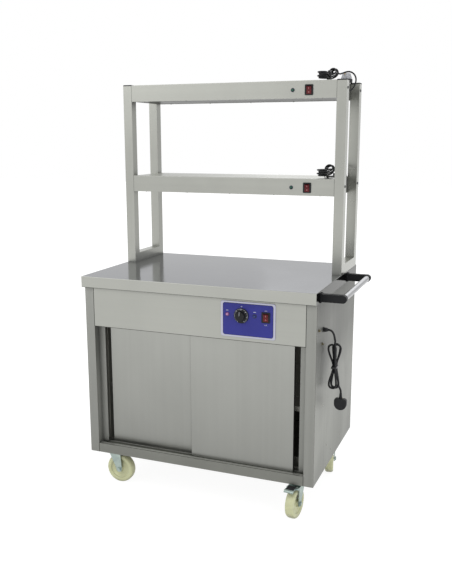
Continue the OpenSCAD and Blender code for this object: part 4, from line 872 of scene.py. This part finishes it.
def control_plate(border, dark):
    """Satin plate with rounded corners behind the film, and the dark line round the film."""
    low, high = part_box("control_plate")
    film_low, film_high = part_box("control_overlay")
    x, z = centre("control_plate")
    thick = high.y - low.y
    place = facing(x, high.y, z)
    plate = rounded(high.x - low.x, high.z - low.z, 10 * MM, 8)
    made = piece("control_border", [(prism, plate, 0, thick - 0.1 * MM, place)], border, "steel",
                 bevel=0.3 * MM)
    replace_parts(made, "control_plate")
    edge = rounded(film_high.x - film_low.x + 2.6 * MM, film_high.z - film_low.z + 2.6 * MM,
                   9.3 * MM, 8)
    piece("film_edge", [(prism, edge, thick - 0.6 * MM, thick, place)], dark, "black_plastic")


def knob_marks(material):
    """Scale on the skirt and line on the pointer."""
    x, z = centre("thermostat_knob")
    place = facing(x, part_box("thermostat_knob")[1].y, z) @ MILLI
    parts = [(prism, rounded(1.2, 15, 0.5, middle=(0, 11.5)), 25.2, 25.8, place)]
    for i in range(31):
        spoke = place @ turned(150 - 10 * i, "Z")
        inner, half = (24.8, 0.4) if i % 5 else (22.5, 0.8)
        # the skirt slopes down to its rim
        rings = [[spoke @ Vector((side * half, r, 4.3 + (28.5 - r) * 2 / 7.5 + lift))
                  for side, lift in ((-1, 0), (-1, 0.35), (1, 0.35), (1, 0))]
                 for r in (inner, 28.2)]
        parts.append((loft, rings))
    piece("knob_marks", parts, material, body="thermostat_knob")


def switch_marks(material):
    """ON and OFF above and below the cupboard's switch, a pointer mark above the knob."""
    x, z = centre("main_rocker")
    for name, word, height in (("mark_on", "ON", 0.0255), ("mark_off", "OFF", -0.0305)):
        made = stand(name + "_curve", settle(bpy.data.curves.new(name, "FONT"), body=word,
                                             size=0.0062, align_x="CENTER", extrude=0.00012))
        made.matrix_world = facing(x, PANEL_Y + PRINT_UNDER, z + height)
        bpy.context.view_layer.update()
        solid = made.evaluated_get(bpy.context.evaluated_depsgraph_get())
        mesh = bpy.data.meshes.new_from_object(solid)
        mesh.transform(made.matrix_world)
        bpy.data.objects.remove(made)
        piece(name, [(bmesh.types.BMesh.from_mesh, mesh)], material)
        bpy.data.meshes.remove(mesh)
    place = facing(centre("thermostat_knob")[0], PANEL_Y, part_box("thermostat_knob")[1].z)
    parts = [(prism, [(-0.0025, 0.0068), (0, 0.0022), (0.0025, 0.0068)], PRINT_UNDER, PRINT_OVER,
              place)]
    # plain bars above the two lamps, where the real panel has words
    for x, width in ((RED_LAMP_X, 0.009), (BLUE_LAMP_X, 0.011)):
        parts.append((prism, rounded(width, 0.0018, 0.0004), PRINT_UNDER, PRINT_OVER,
                      facing(x, PANEL_Y, 0.8305)))
    piece("knob_index", parts, material)


def rocker_marks(material):
    """A bar on the upper half of each rocker and a ring on the lower one."""
    for node, (face_y, pivot_z) in ROCKERS.items():
        pivot = (moved(centre(node)[0], face_y + 7 * MM, pivot_z) @ turned(ROCKER_LEAN, "X")
                 @ MILLI)
        upper, lower = (pivot @ moved(0, -11.155, 7.5 * side)
                        @ turned(90 + ROCKER_BEND * side, "X") for side in (1, -1))
        ring = [(1.7, -0.1), (2.5, -0.1), (2.5, 0.12), (1.7, 0.12)]
        piece(node + "_marks", [(prism, rounded(1.5, 6.5, 0.6), -0.1, 0.12, upper),
                                (lathe, ring, lower, 28)], material, body=node)


def lamps(values, plastic):
    """Four pilot lamps, each a bezel with a domed lens."""
    lilac = moulding("lamp_ring_clear", linear(112, 56, 116), 0.3)
    dark = moulding("lamp_ring_dark", linear(44, 46, 72), 0.35)
    places = [("red", RED_LAMP_X, PANEL_Y, PANEL_LAMP_Z, values.red_lens),
              ("blue", BLUE_LAMP_X, PANEL_Y, PANEL_LAMP_Z, values.blue_lens)]
    places += [(shelf, SHELF_LAMP_X, low.y, high.z - SHELF_DROP, values.green_lens)
               for shelf, (low, high) in SHELVES.items()]
    for name, x, y, z, tint in places:
        parts = (("ring", LAMP_RING, lilac if name == "red" else dark, "lamp_lens", 48),
                 ("lens", LAMP_LENS, lens_plastic(name + "_lens_plastic", tint), "lamp_lens", 48),
                 ("barrel", LAMP_BARREL, plastic, "black_plastic", 24))
        for part, profile, material, slot, steps in parts:
            made = piece(f"{name}_lamp_{part}",
                         [(lathe, profile, facing(x, y, z) @ MILLI, steps)], material, slot)
            if name == "red" and part == "ring":
                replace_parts(made, "pilot_lamps")


# ---------- overshelf and handle ----------


def finish_overshelf(settings):
    values = settings.metal
    dress(sheet_steel("shelf_steel", values.fascia, values.brushing, "x"),
          "top_shelf", "middle_shelf")
    # painted shade on the bases' undersides
    dress(sheet_steel("base_steel", values.side, values.brushing, "x", under_shade=0.3, edge=0.6),
          "top_shelf_base", "middle_shelf_base")
    # painted shade: each frame is darker on its inner side than on its outer side
    for node, flank_shade in (("left_end_frame", (0.72, 1.0)), ("right_end_frame", (1.0, 0.72))):
        dress(sheet_steel(node + "_steel", values.fascia, values.brushing * 0.9, "z", dents=0.1,
                          flank_shade=flank_shade), node)
    dress(cast_metal("heater_sheath", (0.1, 0.09, 0.085), 0.45), "shelf_heaters")
    dress(cast_metal("bolt_metal", linear(84, 86, 88), 0.4), "assembly_bolts")
    caps(moulding("cap_black_plastic", settings.fittings.plastic, 0.6, gloss=0.1))
    places = [moved(low.x + 0.06 + 0.2 * i, y, low.z) @ turned(180, "X") @ MILLI
              for low, high in SHELVES.values() for y in (low.y + 0.0085, high.y - 0.0085)
              for i in range(5)]
    piece("base_screws", [(lathe, BASE_SCREW, place, 20) for place in places],
          cast_metal("screw_metal", linear(150, 151, 150), 0.3), "steel")


def caps(material):
    """Plastic caps whose rims lap over the tops of the posts."""
    parts = []
    for node in ("left_end_frame", "right_end_frame"):
        low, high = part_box(node)
        post = (high.x - low.x) / MM
        for y in (low.y + post / 2 * MM, high.y - post / 2 * MM):
            place = moved(low.x + post / 2 * MM, y, high.z) @ MILLI
            parts += [(prism, rounded(post + 0.8, post + 0.8, 1.8), -2.4, 1.0, place),
                      (prism, rounded(post - 1.2, post - 1.2, 1.4), 0.9, 2.0, place)]
    made = piece("post_tops", parts, material, "black_plastic", bevel=0.3 * MM)
    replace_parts(made, "post_caps")


def finish_handle(settings):
    dress(moulding("bracket_nylon", settings.fittings.bracket, 0.5, grain=500.0, gloss=0.2),
          "handle_brackets")
    dress(sheet_steel("grip_steel", settings.metal.grip, 0.22, "y", dents=0.05, smudges=0.04),
          "handle_tube")


# ---------- castors ----------

WHEEL_R, TRAIL = 62.5, 38
# half of a wheel's profile: hub, flat web with a raised ring, rim and a tread with round shoulders
WHEEL_SIDE = [(5.05, 19.5), (12.4, 19.5), (13.6, 19.0), (14.4, 17.6), (15.2, 13.0), (17.0, 12.2),
              (25.0, 12.0), (25.8, 12.8), (28.2, 12.8), (29.0, 12.0), (39.5, 12.2), (41.6, 13.2),
              (43.0, 16.4), (44.4, 17.4), (54.0, 18.0), (56.6, 17.6), (58.8, 16.2), (60.5, 14.0),
              (61.6, 11.4), (62.2, 8.4), (WHEEL_R, 4.6)]
# the brake lever's plate: place along it, top, bottom, half of the width
LEVER = ((57.5, 128.6, 127.4, 15), (60.5, 134.5, 131.5, 16), (66, 138.6, 135.9, 16.5),
         (78, 140.2, 137.4, 17.5), (90, 140.6, 137.9, 19), (96, 139.4, 136.8, 20),
         (100.5, 136.6, 134.2, 20), (103.5, 133.6, 131.6, 20), (106, 133.2, 131.4, 20))
LEVER_WEB = [(58, 132), (66, 138.2), (92, 140), (96, 139), (92, 134.5), (66, 129.5), (60, 128)]
LEVER_PIN = [(0, -25.4), (4, -25.4), (4, -24.2), (2.5, -23.8), (2.5, 23.8), (4, 24.2), (4, 25.4),
             (0, 25.4)]


def finish_castors(settings):
    values = settings.fittings
    zinc = cast_metal("fork_zinc", settings.metal.zinc, 0.36, spots=0.16)
    nylon = Finish("wheel_nylon", values.wheel, rough=0.42)
    nylon.soft_edges(0.8 * MM)
    cloud = nylon.noise(25.0, detail=6.0, distortion=0.5)
    # painted shade in the wheel's hollows and where the fork comes close
    nylon.put({"Base Color": nylon.painted_corner_shade(nylon.blotted(nylon.tint, cloud, 0.08), 40 * MM, 0.5)})
    nylon.uneven(nylon.noise(40.0), 0.2)
    nylon.relief(nylon.noise(300.0, detail=2.0), 0.05 * MM, 0.4)
    nylon.translucent(0.12, (0.006, 0.005, 0.003), 0.5)
    pad = moulding("pedal_rubber", values.plastic, 0.45)
    dress(zinc, "castor_plates")
    for corner, x, y, heading, brake in CASTORS:
        place = moved(X0 + x * MM, Y0 + y * MM, 0) @ turned(heading, "Z") @ MILLI
        dress(zinc, corner + "_fork")
        wheel(corner + "_wheel", place, nylon.material)
        if brake:
            pedal(brake, place, zinc, pad)


def wheel(name, place, nylon):
    """Wheel turned in nylon."""
    hub = place @ moved(TRAIL, 0, WHEEL_R) @ turned(90, "X")
    profile = WHEEL_SIDE + [(r, -h) for r, h in reversed(WHEEL_SIDE)]
    made = piece(name + "_nylon", [(lathe, profile, hub, 96)], nylon, "nylon_wheel", name)
    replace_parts(made, name)


def pedal(name, place, zinc, pad):
    """Brake lever: a bent zinc plate on a cross pin, with a ribbed pad and a turned lip."""
    plate = [[place @ Vector((x, y, z)) for y, z in
              ((-half, top), (half, top), (half, low), (-half, low))]
             for x, top, low, half in LEVER]
    sideways = place @ turned(90, "X")
    across = sideways @ moved(60, 132, 0)
    sleeve = [(2.6, -20.4), (5, -20.4), (5, 20.4), (2.6, 20.4)]
    parts = [(loft, plate), (lathe, LEVER_PIN, across, 24), (lathe, sleeve, across, 24)]
    parts += [(prism, LEVER_WEB, y - 1, y + 1, sideways) for y in (-15.4, 15.4)]
    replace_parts(piece(name + "_lever", parts, zinc, "zinc", name, 0.5 * MM), name)
    ribs = [(prism, rounded(2.4, 29, 1, middle=(63.5 + k * 4.2, 0)), 141.6, 143.2, place)
            for k in range(7)]
    piece(name + "_pad", [(prism, rounded(33, 33, 3, middle=(76, 0)), 137.4, 141.8, place), *ribs],
          pad, "black_plastic", name, 0.4 * MM)


# ---------- camera and stage ----------

AIM = Vector((0, 0, 0.9))


def place_camera(settings):
    values = settings.camera
    camera = stand("camera", settle(bpy.data.cameras.new("camera"), lens=values.lens,
                                    sensor_width=36, clip_start=0.05, clip_end=100))
    camera.matrix_world = (moved(*values.place) @ Matrix.Rotation(values.turn, 4, "Z")
                           @ Matrix.Rotation(radians(90) - values.tilt, 4, "X")
                           @ Matrix.Rotation(values.roll, 4, "Z"))
    bpy.context.scene.camera = camera


def make_stage(settings):
    values = settings.stage
    surroundings(values)
    make_floor(values)
    lamp("key_lamp", values.key, 4.4, (-2.6, -3.0, 3.8))
    lamp("fill_lamp", values.fill, 4.0, (3.4, -2.0, 2.6))
    lamp("back_lamp", values.fill, 4.0, (0.4, 3.2, 3.6))
    bpy.context.scene.view_settings.view_transform = "Standard"


def seen(tree):
    """1 for rays from the camera, off gloss and through glass."""
    total = add(tree, "LightPath", {}, "Is Camera Ray")
    for name in ("Is Glossy Ray", "Is Transmission Ray"):
        total = add(tree, "Math", {0: total, 1: add(tree, "LightPath", {}, name)},
                    operation="MAXIMUM")
    return total


def surroundings(values):
    world = bpy.data.worlds.new("surroundings")
    bpy.context.scene.world = world
    world.use_nodes = True
    tree = world.node_tree
    colour_of_all = (*values.backdrop, 1)
    soft = tree.nodes["Background"]
    feed(tree, soft, {"Color": colour_of_all, "Strength": values.ambient})
    white = add(tree, "Background", {"Color": colour_of_all, "Strength": 1.0})
    mix = add(tree, "MixShader", {0: seen(tree), 1: soft.outputs[0], 2: white})
    feed(tree, tree.nodes["World Output"], {"Surface": mix})


def make_floor(values):
    """Pale floor, whose own shading fades away from the trolley."""
    finish = Finish("floor_paint", values.floor, rough=0.9)
    finish.mottle(finish.noise(3.0), 0.01)
    glow = finish.add("Emission", {"Color": (*values.backdrop, 1), "Strength": 1.2})
    distance = finish.add("VectorMath", {0: finish.space}, "Value", operation="LENGTH")
    faded = finish.between(distance, 1 - values.shadow, 1.0, 0.7, 1.6)
    weight = finish.add("Math", {0: seen(finish.tree), 1: faded}, operation="MULTIPLY")
    mix = finish.add("MixShader", {0: weight, 1: finish.shader.outputs[0], 2: glow})
    feed(finish.tree, finish.tree.nodes["Material Output"], {"Surface": mix})
    shape = bmesh.new()
    prism(shape, rounded(40, 40, 4, 8), -0.02, 0.0)
    stand("floor", mesh_of("floor", shape, finish.material))


def lamp(name, power, size, place):
    data = settle(bpy.data.lights.new(name, "AREA"), shape="SQUARE", size=size, energy=power)
    settle(stand(name, data), location=place, rotation_mode="QUATERNION",
           rotation_quaternion=(AIM - Vector(place)).to_track_quat("-Z", "Y"))


# ---------- operators and panel ----------


class Step:
    """Runs one step with the trolley's settings"""

    def execute(self, context):
        type(self).make(context.scene.trolley)
        return {"FINISHED"}


class TROLLEY_OT_camera(Step, Operator):
    """Place the camera that looks at the trolley's front and right side"""
    bl_idname = "trolley.camera"
    bl_label = "Place camera"
    make = place_camera


class TROLLEY_OT_leads(Step, Operator):
    """Make the three mains leads with their tied hanks and plugs"""
    bl_idname = "trolley.leads"
    bl_label = "Make leads"
    make = make_leads


class TROLLEY_OT_cupboard(Step, Operator):
    """Finish the worktop, the cupboard's panels, its doors and its inside"""
    bl_idname = "trolley.cupboard"
    bl_label = "Finish cupboard"
    make = finish_cupboard


class TROLLEY_OT_controls(Step, Operator):
    """Finish the control panel, its knob, lamps, switches and marks"""
    bl_idname = "trolley.controls"
    bl_label = "Make controls"
    make = make_controls


class TROLLEY_OT_overshelf(Step, Operator):
    """Finish the posts, the heated shelves and their fixings"""
    bl_idname = "trolley.overshelf"
    bl_label = "Finish overshelf"
    make = finish_overshelf


class TROLLEY_OT_handle(Step, Operator):
    """Finish the push handle's brackets and tube"""
    bl_idname = "trolley.handle"
    bl_label = "Finish handle"
    make = finish_handle


class TROLLEY_OT_castors(Step, Operator):
    """Finish the castors' plates, forks, wheels and brake pedals"""
    bl_idname = "trolley.castors"
    bl_label = "Finish castors"
    make = finish_castors


class TROLLEY_OT_stage(Step, Operator):
    """Make the pale floor, the white surroundings and the soft lamps"""
    bl_idname = "trolley.stage"
    bl_label = "Make stage"
    make = make_stage


class TROLLEY_PT_sidebar(Panel):
    """Lists the steps that dress the trolley"""
    bl_idname = "TROLLEY_PT_sidebar"
    bl_label = "Heated trolley"
    bl_space_type = "VIEW_3D"
    bl_region_type = "UI"
    bl_category = "Trolley"

    def draw(self, context):
        column = self.layout.column()
        for step in OPERATORS:
            column.operator(step.bl_idname)
        settings = context.scene.trolley
        for group in (settings.camera, settings.leads, settings.metal, settings.fittings,
                      settings.stage):
            box = self.layout.box()
            for name in group.__annotations__:
                box.prop(group, name)


OPERATORS = (TROLLEY_OT_camera, TROLLEY_OT_leads, TROLLEY_OT_cupboard, TROLLEY_OT_controls,
             TROLLEY_OT_overshelf, TROLLEY_OT_handle, TROLLEY_OT_castors, TROLLEY_OT_stage)
CLASSES = (TrolleyCamera, TrolleyLeads, TrolleyMetal, TrolleyFittings, TrolleyStage,
           TrolleySettings, *OPERATORS, TROLLEY_PT_sidebar)


def register():
    for made in CLASSES:
        bpy.utils.register_class(made)
    bpy.types.Scene.trolley = PointerProperty(type=TrolleySettings)


def unregister():
    del bpy.types.Scene.trolley
    for made in reversed(CLASSES):
        bpy.utils.unregister_class(made)


def main():
    register()
    for step in OPERATORS:
        getattr(bpy.ops.trolley, step.bl_idname.split(".")[1])()


if __name__ == "__main__":
    main()
